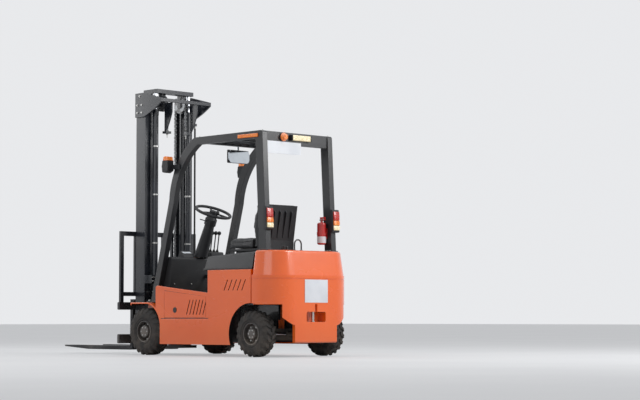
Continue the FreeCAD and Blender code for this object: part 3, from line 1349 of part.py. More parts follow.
def lift_barrels():
    """The lift cylinders' barrels on the outer mast's foot plate."""
    x, y, low, high = LIFT_CYL_X, LIFT_CYL_Y, OUTER_BOTTOM_Z + FOOT_PLATE_T, LIFT_BARREL_TOP_Z
    bore = LIFT_BARREL_R - LIFT_BARREL_WALL
    barrel = ring((x, y, low), (x, y, high), LIFT_BARREL_R, bore)
    base = rod((x, y, low), (x, y, low + 30), LIFT_BARREL_R)
    gland = ring((x, y, high - LIFT_GLAND_H), (x, y, high), LIFT_BARREL_R + 3, LIFT_ROD_R + BEARING_GAP)
    left = fuse(barrel, base, gland)
    port_z = (HOSE_TOP_Z, HOSE_TOP_Z + 26)
    port = block((HOSE_X - 14, x - 24), (-HOSE_Y - 14, 5 - OUTER_FLANGE_Y + 15), port_z)
    port = port.cut(rod((x, -y, port_z[0] - 1), (x, -y, port_z[1] + 4), bore))
    return left, fuse(mirrored(left), port)


def lift_rods():
    """The lift cylinders' rods up to the crosshead."""
    start = OUTER_BOTTOM_Z + FOOT_PLATE_T + 60
    return both(rod((LIFT_CYL_X, LIFT_CYL_Y, start), (LIFT_CYL_X, LIFT_CYL_Y, CROSSHEAD_Z - CROSSHEAD_T),
                    LIFT_ROD_R))


def sheaves():
    """The grooved chain sheaves under the crosshead."""
    low, high = SHEAVE_Y - CHAIN_W / 2, SHEAVE_Y + CHAIN_W / 2
    wheel = rod((SHEAVE_X, low - 3, SHEAVE_Z), (SHEAVE_X, high + 3, SHEAVE_Z), SHEAVE_R + 6)
    groove = ring((SHEAVE_X, low - SEAT_GAP, SHEAVE_Z), (SHEAVE_X, high + SEAT_GAP, SHEAVE_Z),
                  SHEAVE_R + 10, SHEAVE_R - SEAT_GAP)
    bore = rod((SHEAVE_X, low - 3, SHEAVE_Z), (SHEAVE_X, high + 3, SHEAVE_Z), SHEAVE_PIN_R + BEARING_GAP)
    return both(cut(wheel, groove, bore))


def chain_edge(x, into, start_z, end_z):
    """A straight edge of the chain with a notch between its links."""
    way = 1 if end_z > start_z else -1
    links = int(abs(end_z - start_z) / CHAIN_PITCH)
    points = [(x, start_z)]
    for number in range(1, links + 1):
        z = start_z + way * (CHAIN_PITCH * number - CHAIN_PITCH / 2)
        points += [(x, z - way * CHAIN_NOTCH), (x + into * CHAIN_NOTCH, z), (x, z + way * CHAIN_NOTCH)]
    return points + [(x, end_z)]


def chains():
    """The leaf chains over the sheaves, from the carriage to the anchor plate behind."""
    inner, outer = SHEAVE_R, SHEAVE_R + CHAIN_T
    band = chain_edge(SHEAVE_X + outer, -1, CHAIN_FRONT_END_Z, SHEAVE_Z)
    band.append((SHEAVE_X, SHEAVE_Z + outer, ARC))
    band += chain_edge(SHEAVE_X - outer, 1, SHEAVE_Z, CHAIN_REAR_END_Z)
    band += [(SHEAVE_X - inner, CHAIN_REAR_END_Z), (SHEAVE_X - inner, SHEAVE_Z)]
    band.append((SHEAVE_X, SHEAVE_Z + inner, ARC))
    band += [(SHEAVE_X + inner, SHEAVE_Z), (SHEAVE_X + inner, CHAIN_FRONT_END_Z)]
    return both(prism(band, "XZ", SHEAVE_Y - CHAIN_W / 2, SHEAVE_Y + CHAIN_W / 2))


def hoses():
    """The lift hose along the outer mast's right side."""
    return rod((HOSE_X, -HOSE_Y, LOWER_TIE_Z[1] + SEAT_GAP), (HOSE_X, -HOSE_Y, HOSE_TOP_Z - SEAT_GAP), HOSE_R)


# Carriage and forks

def carriage_bar(z):
    """A cross bar of the carriage with bevelled front edges."""
    low, high = z
    front = CARRIAGE_X + CARRIAGE_T
    section = [(CARRIAGE_X, low), (front - CARRIAGE_BEVEL, low), (front, low + CARRIAGE_BEVEL),
               (front, high - CARRIAGE_BEVEL), (front - CARRIAGE_BEVEL, high), (CARRIAGE_X, high)]
    return prism(section, "XZ", -CARRIAGE_HALF_W, CARRIAGE_HALF_W)


def carriage():
    """The fork carriage: bars with the forks' stop notches, roller plates, rollers and chain anchors."""
    front = CARRIAGE_X + CARRIAGE_T
    low_bar, high_bar = CARRIAGE_BAR_Z
    plate = (CARRIAGE_PLATE_Y, CARRIAGE_PLATE_Y + CARRIAGE_PLATE_T)
    parts = [carriage_bar(z) for z in CARRIAGE_BAR_Z]
    parts += both(block((MAST_MID_X - 30, CARRIAGE_X + 2), plate, (low_bar[0], CARRIAGE_TOP_Z)))
    for z in CARRIAGE_ROLLER_Z:
        parts += both(rod((MAST_MID_X, plate[1] - 1, z), (MAST_MID_X, INNER_WEB_Y - 3, z), CARRIAGE_ROLLER_R))
    parts.append(block((MAST_MID_X - 8, MAST_MID_X + 10), (-plate[0] - 1, plate[0] + 1), (420, 560)))
    anchor_z = (CHAIN_FRONT_END_Z - 40, CHAIN_FRONT_END_Z + 20)
    for side in (-1, 1):
        for y in (SHEAVE_Y - CHAIN_W - 1, SHEAVE_Y + CHAIN_W - 7):
            parts.append(block((SHEAVE_X + SHEAVE_R - 8, MAST_MID_X), (side * y, side * (y + 6)), anchor_z))
    web_y = (plate[0] - 20, plate[1] + 20)
    parts += both(block((CARRIAGE_X, front), web_y, (low_bar[1] - 2, high_bar[0] + 2)))
    notches = [block((CARRIAGE_X + 12, front + 1), (y - FORK_STOP_W / 2, y + FORK_STOP_W / 2),
                     (high_bar[1] - 10, high_bar[1] + 1)) for y in FORK_STOP_YS]
    return cut(fuse(*parts), *notches)


def backrest():
    """The load backrest's open frame above the carriage."""
    x = (CARRIAGE_X + 2, CARRIAGE_X + 28)
    low = CARRIAGE_BAR_Z[1][1] + SEAT_GAP
    rail = (low + 60, low + 100)
    parts = [block(x, (-BACKREST_HALF_W, BACKREST_HALF_W), (BACKREST_TOP_Z - 45, BACKREST_TOP_Z)),
             block(x, (-BACKREST_HALF_W, BACKREST_HALF_W), rail)]
    for y in BACKREST_BAR_YS:
        parts.append(block(x, (y - BACKREST_BAR_W / 2, y + BACKREST_BAR_W / 2), (rail[0], BACKREST_TOP_Z)))
    parts += both(block(x, (BACKREST_HALF_W - 40, BACKREST_HALF_W), (low, BACKREST_TOP_Z)))
    parts += both(block(x, (60, 130), (low, rail[0] + 1)))
    return fuse(*parts)


def fork():
    """The left fork: tapered blade, forged heel, shank and its hook over the carriage's top bar."""
    back, face = FORK_BACK_X + SEAT_GAP, FORK_BACK_X + FORK_T
    low, high = FORK_BOTTOM_Z, FORK_BOTTOM_Z + FORK_T
    top = CARRIAGE_BAR_Z[1][1] + FORK_HOOK_H
    hook_low = top - FORK_HOOK_H + 6
    tip = FORK_TIP_X
    side = [
        (face, high + 12),
        (face + 4, high + 3, ARC),
        (face + 14, high),
        (tip, high),
        (tip, high - FORK_TIP_T),
        (tip - FORK_TAPER, low),
        (back + 45, low),
        (back + 13, low + 13, ARC),
        (back, low + 45),
        (back, hook_low),
        (CARRIAGE_X + 6, hook_low),
        (CARRIAGE_X + 6, top),
        (face, top),
    ]
    blade = prism(side, "XZ", FORK_Y - FORK_W / 2, FORK_Y + FORK_W / 2)
    ends = []
    for edge in (-1, 1):
        corner = [(tip + 1, edge * FORK_W / 2 + FORK_Y), (tip + 1, FORK_Y + edge * 30),
                  (tip - 12, FORK_Y + edge * 46, ARC), (tip - 60, FORK_Y + edge * FORK_W / 2)]
        ends.append(prism(corner, "XY", low - 5, high + 5))
    return cut(blade, *ends)


# Tilt cylinders

def tilt_axis():
    """The left tilt cylinder's rear eye, its direction and its length at rest."""
    start = Vec(TILT_ANCHOR[0], TILT_CYL_Y, TILT_ANCHOR[1])
    end = Vec(TILT_LUG[0], TILT_CYL_Y, TILT_LUG[1])
    return start, (end - start).normalize(), (end - start).Length


def tilt_eye(at, radius, bore):
    """The ring of a tilt cylinder's eye and the cutter of its bore."""
    x, z = at
    half = TILT_EYE_HALF
    eye = rod((x, TILT_CYL_Y - half, z), (x, TILT_CYL_Y + half, z), radius)
    return eye, rod((x, TILT_CYL_Y - half - 8, z), (x, TILT_CYL_Y + half + 8, z), bore)


def tilt_barrel():
    """One tilt cylinder's barrel with its rear eye and its gland ring."""
    start, way, _ = tilt_axis()
    length = TILT_BARREL_END - TILT_BARREL_START
    floor_t = 20
    tube = Part.makeCylinder(TILT_BARREL_R, length, start + way * TILT_BARREL_START, way)
    collar = Part.makeCylinder(TILT_BARREL_R + 5, 30, start + way * (TILT_BARREL_END - 30), way)
    inside = Part.makeCylinder(TILT_BARREL_R - TILT_BARREL_WALL, length - floor_t - TILT_GLAND,
                               start + way * (TILT_BARREL_START + floor_t), way)
    rod_hole = Part.makeCylinder(TILT_ROD_R + BEARING_GAP, 60, start + way * (TILT_BARREL_END - 50), way)
    eye, bore = tilt_eye(TILT_ANCHOR, TILT_EYE_R, TILT_PIN_SMALL_R + BEARING_GAP)
    neck = Part.makeCylinder(12, TILT_BARREL_START + 5, start, way)
    return cut(fuse(cut(fuse(tube, collar), inside, rod_hole), eye, neck), bore)


def tilt_rod():
    """One tilt cylinder's rod with its eye."""
    start, way, length = tilt_axis()
    piston_at = 200
    bar = Part.makeCylinder(TILT_ROD_R, length - piston_at - 15, start + way * piston_at, way)
    eye, bore = tilt_eye(TILT_LUG, TILT_EYE_R + 1, TILT_PIN_SMALL_R + TILT_EYE_PLAY)
    return cut(fuse(bar, eye), bore)


def save_body():
    """The welded body, its covers, the counterweight and what is fixed to them."""
    save("chassis", chassis())
    left_side = body_side()
    save("body_side_left", left_side)
    save("body_side_right", mirrored(left_side))
    left_cover = side_cover()
    save("side_cover_left", left_cover)
    save("side_cover_right", mirrored(left_cover))
    save("side_caps", *side_caps())
    save("floor_mat", floor_mat())
    save("front_cowl", cowl())
    save("battery", battery())
    save("counterweight", counterweight())
    save("tow_pin", tow_pin())
    save("rear_handle", rear_handle())
    save("number_plate", number_plate())


def save_cab():
    """The overhead guard, its lamps, the hood, the seat and the controls."""
    save("guard_frame", guard())
    save("roof_bars", roof_bars())
    save("rear_panel", rear_panel())
    save("front_lamps", *front_lamps())
    save("turn_lamps", *turn_lamps())
    save("rear_lamps", *both(rear_lamps()))
    save("rear_lenses", *rear_lenses())
    save("mirror", mirror())
    save("beacon", beacon())
    save("work_lamp", work_lamp())
    save("extinguisher", extinguisher())
    save("hood", hood())
    save("seat_pan", seat_pan())
    save("seat_cushion", seat_cushion())
    save("seat_back", seat_back())
    save("steering_column", column())
    save("steering_wheel", handwheel())
    save("levers", levers())
    save("pedals", *pedals())


def save_running_gear():
    """The axles, the steering and the four wheels."""
    save("drive_axle", drive_axle())
    save("steer_axle", steer_axle())
    save("steer_rod", steer_rod())
    left_knuckle = knuckle()
    save("knuckle_left", left_knuckle)
    save("knuckle_right", mirrored(left_knuckle))
    wheels = (  # name, tyre radius, width, centre, spindle radius
        ("front", FRONT_TYRE_R, FRONT_TYRE_W, (0.0, FRONT_TYRE_R), FRONT_SPINDLE_R),
        ("rear", REAR_TYRE_R, REAR_TYRE_W, (REAR_X, REAR_TYRE_R), REAR_SPINDLE_R),
    )
    for name, radius, width, centre, spindle_r in wheels:
        for piece, left in (("tyre", tyre(radius, width, centre)), ("rim", rim(width, centre, spindle_r))):
            save(piece + "_" + name + "_left", left)
            save(piece + "_" + name + "_right", mirrored(left))


def save_mast():
    """The mast, its cylinders and chains, the carriage and the forks."""
    save("mast_outer", *both(outer_rail()))
    save("mast_ties", *mast_ties())
    save("mast_inner", inner_mast())
    save("lift_barrels", *lift_barrels())
    save("lift_rods", *lift_rods())
    save("chain_sheaves", *sheaves())
    save("lift_chains", *chains())
    save("mast_hoses", hoses())
    save("carriage", carriage())
    save("load_backrest", backrest())
    left_fork = fork()
    save("fork_left", left_fork)
    save("fork_right", mirrored(left_fork))
    save("tilt_barrels", *both(tilt_barrel()))
    save("tilt_rods", *both(tilt_rod()))


def main():
    """Builds every node."""
    os.makedirs("parts", exist_ok=True)
    save_body()
    save_cab()
    save_running_gear()
    save_mast()


main()
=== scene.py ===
import math
import bmesh
import bpy
from mathutils import Matrix, Vector


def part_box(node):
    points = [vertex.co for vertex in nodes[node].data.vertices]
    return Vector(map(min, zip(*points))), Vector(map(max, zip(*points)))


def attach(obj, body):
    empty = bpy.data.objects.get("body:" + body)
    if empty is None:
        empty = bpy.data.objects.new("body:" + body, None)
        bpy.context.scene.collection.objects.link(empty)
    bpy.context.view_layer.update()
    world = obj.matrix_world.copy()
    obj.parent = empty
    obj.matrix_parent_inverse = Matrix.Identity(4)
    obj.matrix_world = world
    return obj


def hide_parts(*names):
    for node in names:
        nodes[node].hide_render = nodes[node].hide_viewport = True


# Compact electric counterbalance forklift, parked with its mast upright.
# Places are written in millimetres from the point on the floor under the middle of the front axle,
# X forward, Y to the driver's left, Z up, and at() turns them into the frame's metres.

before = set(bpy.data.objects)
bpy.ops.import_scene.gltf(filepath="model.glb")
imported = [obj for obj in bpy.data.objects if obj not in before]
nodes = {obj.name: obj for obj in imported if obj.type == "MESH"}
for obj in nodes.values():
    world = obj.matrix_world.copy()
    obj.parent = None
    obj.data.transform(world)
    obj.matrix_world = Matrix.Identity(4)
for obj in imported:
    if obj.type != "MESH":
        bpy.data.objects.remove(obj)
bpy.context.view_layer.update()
frontTyreLow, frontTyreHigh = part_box("tyre_front_left")
axleX = (frontTyreLow.x + frontTyreHigh.x) / 2
mm = 0.001
print("frame loaded")


def at(x, y, z):
    return Vector((axleX + x * mm, y * mm, z * mm))


# Shapes

def link(obj):
    bpy.context.scene.collection.objects.link(obj)
    return obj


def pieceFrom(bm, name):
    bmesh.ops.remove_doubles(bm, verts=bm.verts, dist=1e-6)
    bmesh.ops.recalc_face_normals(bm, faces=bm.faces)
    mesh = bpy.data.meshes.new(name)
    bm.to_mesh(mesh)
    bm.free()
    return link(bpy.data.objects.new(name, mesh))


def smooth(obj, angle=32):
    for polygon in obj.data.polygons:
        polygon.use_smooth = True
    obj.data.set_sharp_from_angle(angle=math.radians(angle))
    return obj


def bakeModifiers(obj):
    graph = bpy.context.evaluated_depsgraph_get()
    mesh = bpy.data.meshes.new_from_object(obj.evaluated_get(graph), depsgraph=graph)
    obj.modifiers.clear()
    obj.data = mesh
    return obj


def bevelled(obj, width, segments=2, angle=35):
    modifier = obj.modifiers.new("edges", "BEVEL")
    modifier.width = width * mm
    modifier.segments = segments
    modifier.limit_method = "ANGLE"
    modifier.angle_limit = math.radians(angle)
    return smooth(bakeModifiers(obj))


def dress(obj, material, body, replaced=()):
    obj.data.materials.clear()
    obj.data.materials.append(material)
    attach(obj, body)
    if replaced:
        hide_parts(*replaced)
    return obj


def joined(name, parts):
    bm = bmesh.new()
    for part in parts:
        bm.from_mesh(part.data)
        bpy.data.objects.remove(part)
    mesh = bpy.data.meshes.new(name)
    bm.to_mesh(mesh)
    bm.free()
    return smooth(link(bpy.data.objects.new(name, mesh)))


def slab(name, low, high, round=0):
    bm = bmesh.new()
    corners = [bm.verts.new((x, y, z)) for x in (low.x, high.x) for y in (low.y, high.y) for z in (low.z, high.z)]
    for face in ((0, 1, 3, 2), (4, 6, 7, 5), (0, 4, 5, 1), (2, 3, 7, 6), (0, 2, 6, 4), (1, 5, 7, 3)):
        bm.faces.new([corners[i] for i in face])
    obj = pieceFrom(bm, name)
    return bevelled(obj, round, 3) if round else obj


def prism(name, points, plane, low, high, round=0):
    def corner(u, v, w):
        return {"XZ": at(u, w, v), "XY": at(u, v, w), "YZ": at(w, u, v)}[plane]
    bm = bmesh.new()
    first = [bm.verts.new(corner(u, v, low)) for u, v in points]
    last = [bm.verts.new(corner(u, v, high)) for u, v in points]
    bm.faces.new(first)
    bm.faces.new(list(reversed(last)))
    count = len(points)
    for i in range(count):
        bm.faces.new((first[i], last[i], last[(i + 1) % count], first[(i + 1) % count]))
    obj = pieceFrom(bm, name)
    return bevelled(obj, round, 3) if round else obj


def lathe(name, profile, centre, way, steps=48, hollow=False):
    # profile is (distance along the axis, radius) in millimetres; a hollow one is a ring with an open middle
    bm = bmesh.new()
    turn = Vector((0, 0, 1)).rotation_difference(Vector(way)).to_matrix()
    rings = []
    for along, radius in profile:
        ring = []
        for step in range(steps):
            angle = 2 * math.pi * step / steps
            local = Vector((radius * mm * math.cos(angle), radius * mm * math.sin(angle), along * mm))
            ring.append(bm.verts.new(centre + turn @ local))
        rings.append(ring)
    for ring, after in zip(rings, rings[1:]):
        for step in range(steps):
            other = (step + 1) % steps
            bm.faces.new((ring[step], ring[other], after[other], after[step]))
    if hollow:
        for step in range(steps):
            other = (step + 1) % steps
            bm.faces.new((rings[-1][step], rings[-1][other], rings[0][other], rings[0][step]))
    else:
        bm.faces.new(rings[0])
        bm.faces.new(list(reversed(rings[-1])))
    return smooth(pieceFrom(bm, name))


def tube(name, points, radius, sides=12):
    curve = bpy.data.curves.new(name + "Line", "CURVE")
    curve.dimensions = "3D"
    curve.bevel_depth = radius * mm
    curve.bevel_resolution = sides // 4
    curve.use_fill_caps = True
    spline = curve.splines.new("NURBS")
    spline.points.add(len(points) - 1)
    for place, point in zip(spline.points, points):
        place.co = (*point, 1)
    spline.order_u = 3
    spline.use_endpoint_u = True
    spline.resolution_u = 10
    line = link(bpy.data.objects.new(name + "Line", curve))
    graph = bpy.context.evaluated_depsgraph_get()
    mesh = bpy.data.meshes.new_from_object(line.evaluated_get(graph), depsgraph=graph)
    bpy.data.objects.remove(line)
    return smooth(link(bpy.data.objects.new(name, mesh)), 50)


def mirroredCopy(obj, name):
    bm = bmesh.new()
    bm.from_mesh(obj.data)
    bmesh.ops.scale(bm, vec=(1, -1, 1), verts=bm.verts)
    bmesh.ops.reverse_faces(bm, faces=bm.faces)
    mesh = bpy.data.meshes.new(name)
    bm.to_mesh(mesh)
    bm.free()
    copy = link(bpy.data.objects.new(name, mesh))
    return smooth(copy)


# Geometry Nodes patterns

def startTree(name, inputs):
    tree = bpy.data.node_groups.new(name, "GeometryNodeTree")
    for label, kind, value in inputs:
        socket = tree.interface.new_socket(name=label, in_out="INPUT", socket_type=kind)
        if value is not None:
            socket.default_value = value
    tree.interface.new_socket(name="Geometry", in_out="OUTPUT", socket_type="NodeSocketGeometry")
    return tree, tree.nodes.new("NodeGroupInput"), tree.nodes.new("NodeGroupOutput")


def finishTree(tree, entry, end, instances):
    realize = tree.nodes.new("GeometryNodeRealizeInstances")
    paint = tree.nodes.new("GeometryNodeSetMaterial")
    tree.links.new(instances, realize.inputs["Geometry"])
    tree.links.new(realize.outputs["Geometry"], paint.inputs["Geometry"])
    tree.links.new(entry.outputs["Finish"], paint.inputs["Material"])
    tree.links.new(paint.outputs["Geometry"], end.inputs["Geometry"])


def ringTree():
    tree, entry, end = startTree("ringPattern", [
        ("Unit", "NodeSocketObject", None), ("Count", "NodeSocketInt", 6),
        ("Finish", "NodeSocketMaterial", None)])
    unit = tree.nodes.new("GeometryNodeObjectInfo")
    spots = tree.nodes.new("GeometryNodeMeshLine")
    spots.inputs["Offset"].default_value = (0, 0, 0)
    place = tree.nodes.new("GeometryNodeInstanceOnPoints")
    index = tree.nodes.new("GeometryNodeInputIndex")
    share = tree.nodes.new("ShaderNodeMath")
    share.operation = "DIVIDE"
    whole = tree.nodes.new("ShaderNodeMath")
    whole.operation = "MULTIPLY"
    whole.inputs[1].default_value = 2 * math.pi
    turn = tree.nodes.new("ShaderNodeCombineXYZ")
    tree.links.new(entry.outputs["Unit"], unit.inputs["Object"])
    tree.links.new(entry.outputs["Count"], spots.inputs["Count"])
    tree.links.new(index.outputs["Index"], share.inputs[0])
    tree.links.new(entry.outputs["Count"], share.inputs[1])
    tree.links.new(share.outputs[0], whole.inputs[0])
    tree.links.new(whole.outputs[0], turn.inputs["Z"])
    tree.links.new(spots.outputs["Mesh"], place.inputs["Points"])
    tree.links.new(unit.outputs["Geometry"], place.inputs["Instance"])
    tree.links.new(turn.outputs["Vector"], place.inputs["Rotation"])
    finishTree(tree, entry, end, place.outputs["Instances"])
    return tree


def rowTree():
    tree, entry, end = startTree("rowPattern", [
        ("Unit", "NodeSocketObject", None), ("Count", "NodeSocketInt", 2), ("Step", "NodeSocketVector", (0, 0, 0)),
        ("Rows", "NodeSocketInt", 1), ("Row Step", "NodeSocketVector", (0, 0, 0)),
        ("Finish", "NodeSocketMaterial", None)])
    unit = tree.nodes.new("GeometryNodeObjectInfo")
    line = tree.nodes.new("GeometryNodeMeshLine")
    rows = tree.nodes.new("GeometryNodeMeshLine")
    place = tree.nodes.new("GeometryNodeInstanceOnPoints")
    spread = tree.nodes.new("GeometryNodeInstanceOnPoints")
    tree.links.new(entry.outputs["Unit"], unit.inputs["Object"])
    tree.links.new(entry.outputs["Count"], line.inputs["Count"])
    tree.links.new(entry.outputs["Step"], line.inputs["Offset"])
    tree.links.new(entry.outputs["Rows"], rows.inputs["Count"])
    tree.links.new(entry.outputs["Row Step"], rows.inputs["Offset"])
    tree.links.new(line.outputs["Mesh"], place.inputs["Points"])
    tree.links.new(unit.outputs["Geometry"], place.inputs["Instance"])
    tree.links.new(rows.outputs["Mesh"], spread.inputs["Points"])
    tree.links.new(place.outputs["Instances"], spread.inputs["Instance"])
    finishTree(tree, entry, end, spread.outputs["Instances"])
    return tree


def pathTree():
    tree, entry, end = startTree("pathPattern", [
        ("Unit", "NodeSocketObject", None), ("Path", "NodeSocketObject", None),
        ("Spacing", "NodeSocketFloat", 0.02), ("Finish", "NodeSocketMaterial", None)])
    unit = tree.nodes.new("GeometryNodeObjectInfo")
    path = tree.nodes.new("GeometryNodeObjectInfo")
    spots = tree.nodes.new("GeometryNodeCurveToPoints")
    spots.mode = "LENGTH"
    place = tree.nodes.new("GeometryNodeInstanceOnPoints")
    tree.links.new(entry.outputs["Unit"], unit.inputs["Object"])
    tree.links.new(entry.outputs["Path"], path.inputs["Object"])
    tree.links.new(path.outputs["Geometry"], spots.inputs["Curve"])
    tree.links.new(entry.outputs["Spacing"], spots.inputs["Length"])
    tree.links.new(spots.outputs["Points"], place.inputs["Points"])
    tree.links.new(spots.outputs["Rotation"], place.inputs["Rotation"])
    tree.links.new(unit.outputs["Geometry"], place.inputs["Instance"])
    finishTree(tree, entry, end, place.outputs["Instances"])
    return tree


def spotTree():
    tree, entry, end = startTree("spotPattern", [
        ("Unit", "NodeSocketObject", None), ("Spots", "NodeSocketObject", None),
        ("Finish", "NodeSocketMaterial", None)])
    unit = tree.nodes.new("GeometryNodeObjectInfo")
    spots = tree.nodes.new("GeometryNodeObjectInfo")
    place = tree.nodes.new("GeometryNodeInstanceOnPoints")
    tree.links.new(entry.outputs["Unit"], unit.inputs["Object"])
    tree.links.new(entry.outputs["Spots"], spots.inputs["Object"])
    tree.links.new(spots.outputs["Geometry"], place.inputs["Points"])
    tree.links.new(unit.outputs["Geometry"], place.inputs["Instance"])
    finishTree(tree, entry, end, place.outputs["Instances"])
    return tree


patterns = {"ring": ringTree(), "row": rowTree(), "path": pathTree(), "spots": spotTree()}


def repeated(name, pattern, unit, values, finish):
    holder = link(bpy.data.objects.new(name + "Holder", bpy.data.meshes.new(name + "Holder")))
    modifier = holder.modifiers.new("pattern", "NODES")
    tree = patterns[pattern]
    modifier.node_group = tree
    given = {"Unit": unit, "Finish": finish, **values}
    for item in tree.interface.items_tree:
        if item.item_type == "SOCKET" and item.in_out == "INPUT" and item.name in given:
            modifier[item.identifier] = given[item.name]
    graph = bpy.context.evaluated_depsgraph_get()
    mesh = bpy.data.meshes.new_from_object(holder.evaluated_get(graph), depsgraph=graph)
    bpy.data.objects.remove(holder)
    bpy.data.objects.remove(unit)
    return smooth(link(bpy.data.objects.new(name, mesh)))


def placed(obj, centre, way, spin=0):
    turn = Vector((0, 0, 1)).rotation_difference(Vector(way)).to_matrix().to_4x4()
    obj.data.transform(Matrix.Translation(centre) @ turn @ Matrix.Rotation(math.radians(spin), 4, "Z"))
    return obj


def boltHead(name, size, height, offset=0.0, sides=6):
    # a hexagon head with a washer, its axis along Z, standing off the Z axis by the offset
    bm = bmesh.new()
    rings = []
    for radius, z in ((0.62, 0), (0.62, 0.14), (0.5, 0.14), (0.5, 0.86), (0.43, 1)):
        ring = [bm.verts.new((offset * mm + size * mm * radius * math.cos(2 * math.pi * i / 12),
                              size * mm * radius * math.sin(2 * math.pi * i / 12), height * mm * z))
                for i in range(12)]
        if z > 0.14 or radius == 0.5:
            for i, vert in enumerate(ring):
                flat = math.cos(math.pi / sides) if i % 2 else 1
                vert.co.x = offset * mm + (vert.co.x - offset * mm) * flat
                vert.co.y *= flat
        rings.append(ring)
    for ring, after in zip(rings, rings[1:]):
        for i in range(12):
            bm.faces.new((ring[i], ring[(i + 1) % 12], after[(i + 1) % 12], after[i]))
    bm.faces.new(rings[-1])
    return pieceFrom(bm, name)


# Finishes

def colourFrom(red, green, blue):
    return tuple(((v / 255 + 0.055) / 1.055) ** 2.4 if v > 10 else v / 3294.6 for v in (red, green, blue)) + (1,)


class Finish:
    def __init__(self, name):
        self.material = bpy.data.materials.new(name)
        self.material.use_nodes = True
        self.tree = self.material.node_tree
        self.shader = self.tree.nodes["Principled BSDF"]
        self.place = self.tree.nodes.new("ShaderNodeTexCoord").outputs["Object"]
        self.high = self.tree.nodes.new("ShaderNodeSeparateXYZ")
        self.tree.links.new(self.place, self.high.inputs[0])

    def put(self, socket, value):
        if isinstance(value, (int, float, tuple)):
            socket.default_value = value
        else:
            self.tree.links.new(value, socket)

    def stretched(self, x, y, z, place=None):
        node = self.tree.nodes.new("ShaderNodeMapping")
        node.inputs["Scale"].default_value = (x, y, z)
        self.put(node.inputs["Vector"], place or self.place)
        return node.outputs["Vector"]

    def noise(self, scale, detail=3.0, rough=0.5, place=None):
        node = self.tree.nodes.new("ShaderNodeTexNoise")
        node.inputs["Scale"].default_value = scale
        node.inputs["Detail"].default_value = detail
        node.inputs["Roughness"].default_value = rough
        self.put(node.inputs["Vector"], place or self.place)
        return node.outputs["Fac"]

    def cells(self, scale, feature="F1", place=None):
        node = self.tree.nodes.new("ShaderNodeTexVoronoi")
        node.feature = feature
        node.inputs["Scale"].default_value = scale
        self.put(node.inputs["Vector"], place or self.place)
        return node.outputs["Distance"]

    def bands(self, scale, direction="Z", place=None):
        node = self.tree.nodes.new("ShaderNodeTexWave")
        node.bands_direction = direction
        node.inputs["Scale"].default_value = scale
        self.put(node.inputs["Vector"], place or self.place)
        return node.outputs["Fac"]

    def ramp(self, value, low, high, start=0.0, end=1.0):
        node = self.tree.nodes.new("ShaderNodeMapRange")
        node.interpolation_type = "SMOOTHSTEP"
        self.put(node.inputs["Value"], value)
        node.inputs["From Min"].default_value = low
        node.inputs["From Max"].default_value = high
        node.inputs["To Min"].default_value = start
        node.inputs["To Max"].default_value = end
        return node.outputs["Result"]

    def sum(self, operation, first, second):
        node = self.tree.nodes.new("ShaderNodeMath")
        node.operation = operation
        self.put(node.inputs[0], first)
        self.put(node.inputs[1], second)
        return node.outputs[0]

    def mix(self, share, first, second):
        node = self.tree.nodes.new("ShaderNodeMix")
        node.data_type = "RGBA"
        self.put(node.inputs[0], share)
        self.put(node.inputs[6], first)
        self.put(node.inputs[7], second)
        return node.outputs[2]

    def bump(self, height, distance, strength=1.0, edge=0.0):
        node = self.tree.nodes.new("ShaderNodeBump")
        node.inputs["Strength"].default_value = strength
        node.inputs["Distance"].default_value = distance
        self.put(node.inputs["Height"], height)
        if edge:
            soft = self.tree.nodes.new("ShaderNodeBevel")
            soft.samples = 4
            soft.inputs["Radius"].default_value = edge * mm
            self.tree.links.new(soft.outputs["Normal"], node.inputs["Normal"])
        self.tree.links.new(node.outputs["Normal"], self.shader.inputs["Normal"])

    def worn(self, radius):
        # 1 along outer edges, 0 on faces
        soft = self.tree.nodes.new("ShaderNodeBevel")
        soft.samples = 4
        soft.inputs["Radius"].default_value = radius * mm
        flat = self.tree.nodes.new("ShaderNodeNewGeometry")
        dot = self.tree.nodes.new("ShaderNodeVectorMath")
        dot.operation = "DOT_PRODUCT"
        self.tree.links.new(soft.outputs["Normal"], dot.inputs[0])
        self.tree.links.new(flat.outputs["Normal"], dot.inputs[1])
        return self.ramp(dot.outputs["Value"], 0.97, 0.86)

    def set(self, **values):
        for name, value in values.items():
            self.put(self.shader.inputs[name.replace("_", " ")], value)
        return self


dustColour = colourFrom(150, 132, 112)
# painted shade: a near-black colour laid on the body paint in the louvre slots, the side groove and the insides of the
# wheel arches
paintedShadeStyle = {"colour": colourFrom(20, 20, 22), "depth": 0.5258, "along": (-1.49, -0.24), "tall": (0.34, 0.72),
               "arches": ((-1.49, 0.213, 0.42), (0.0, 0.229, 0.35))}  # arch centre X and Z, and how far it reaches


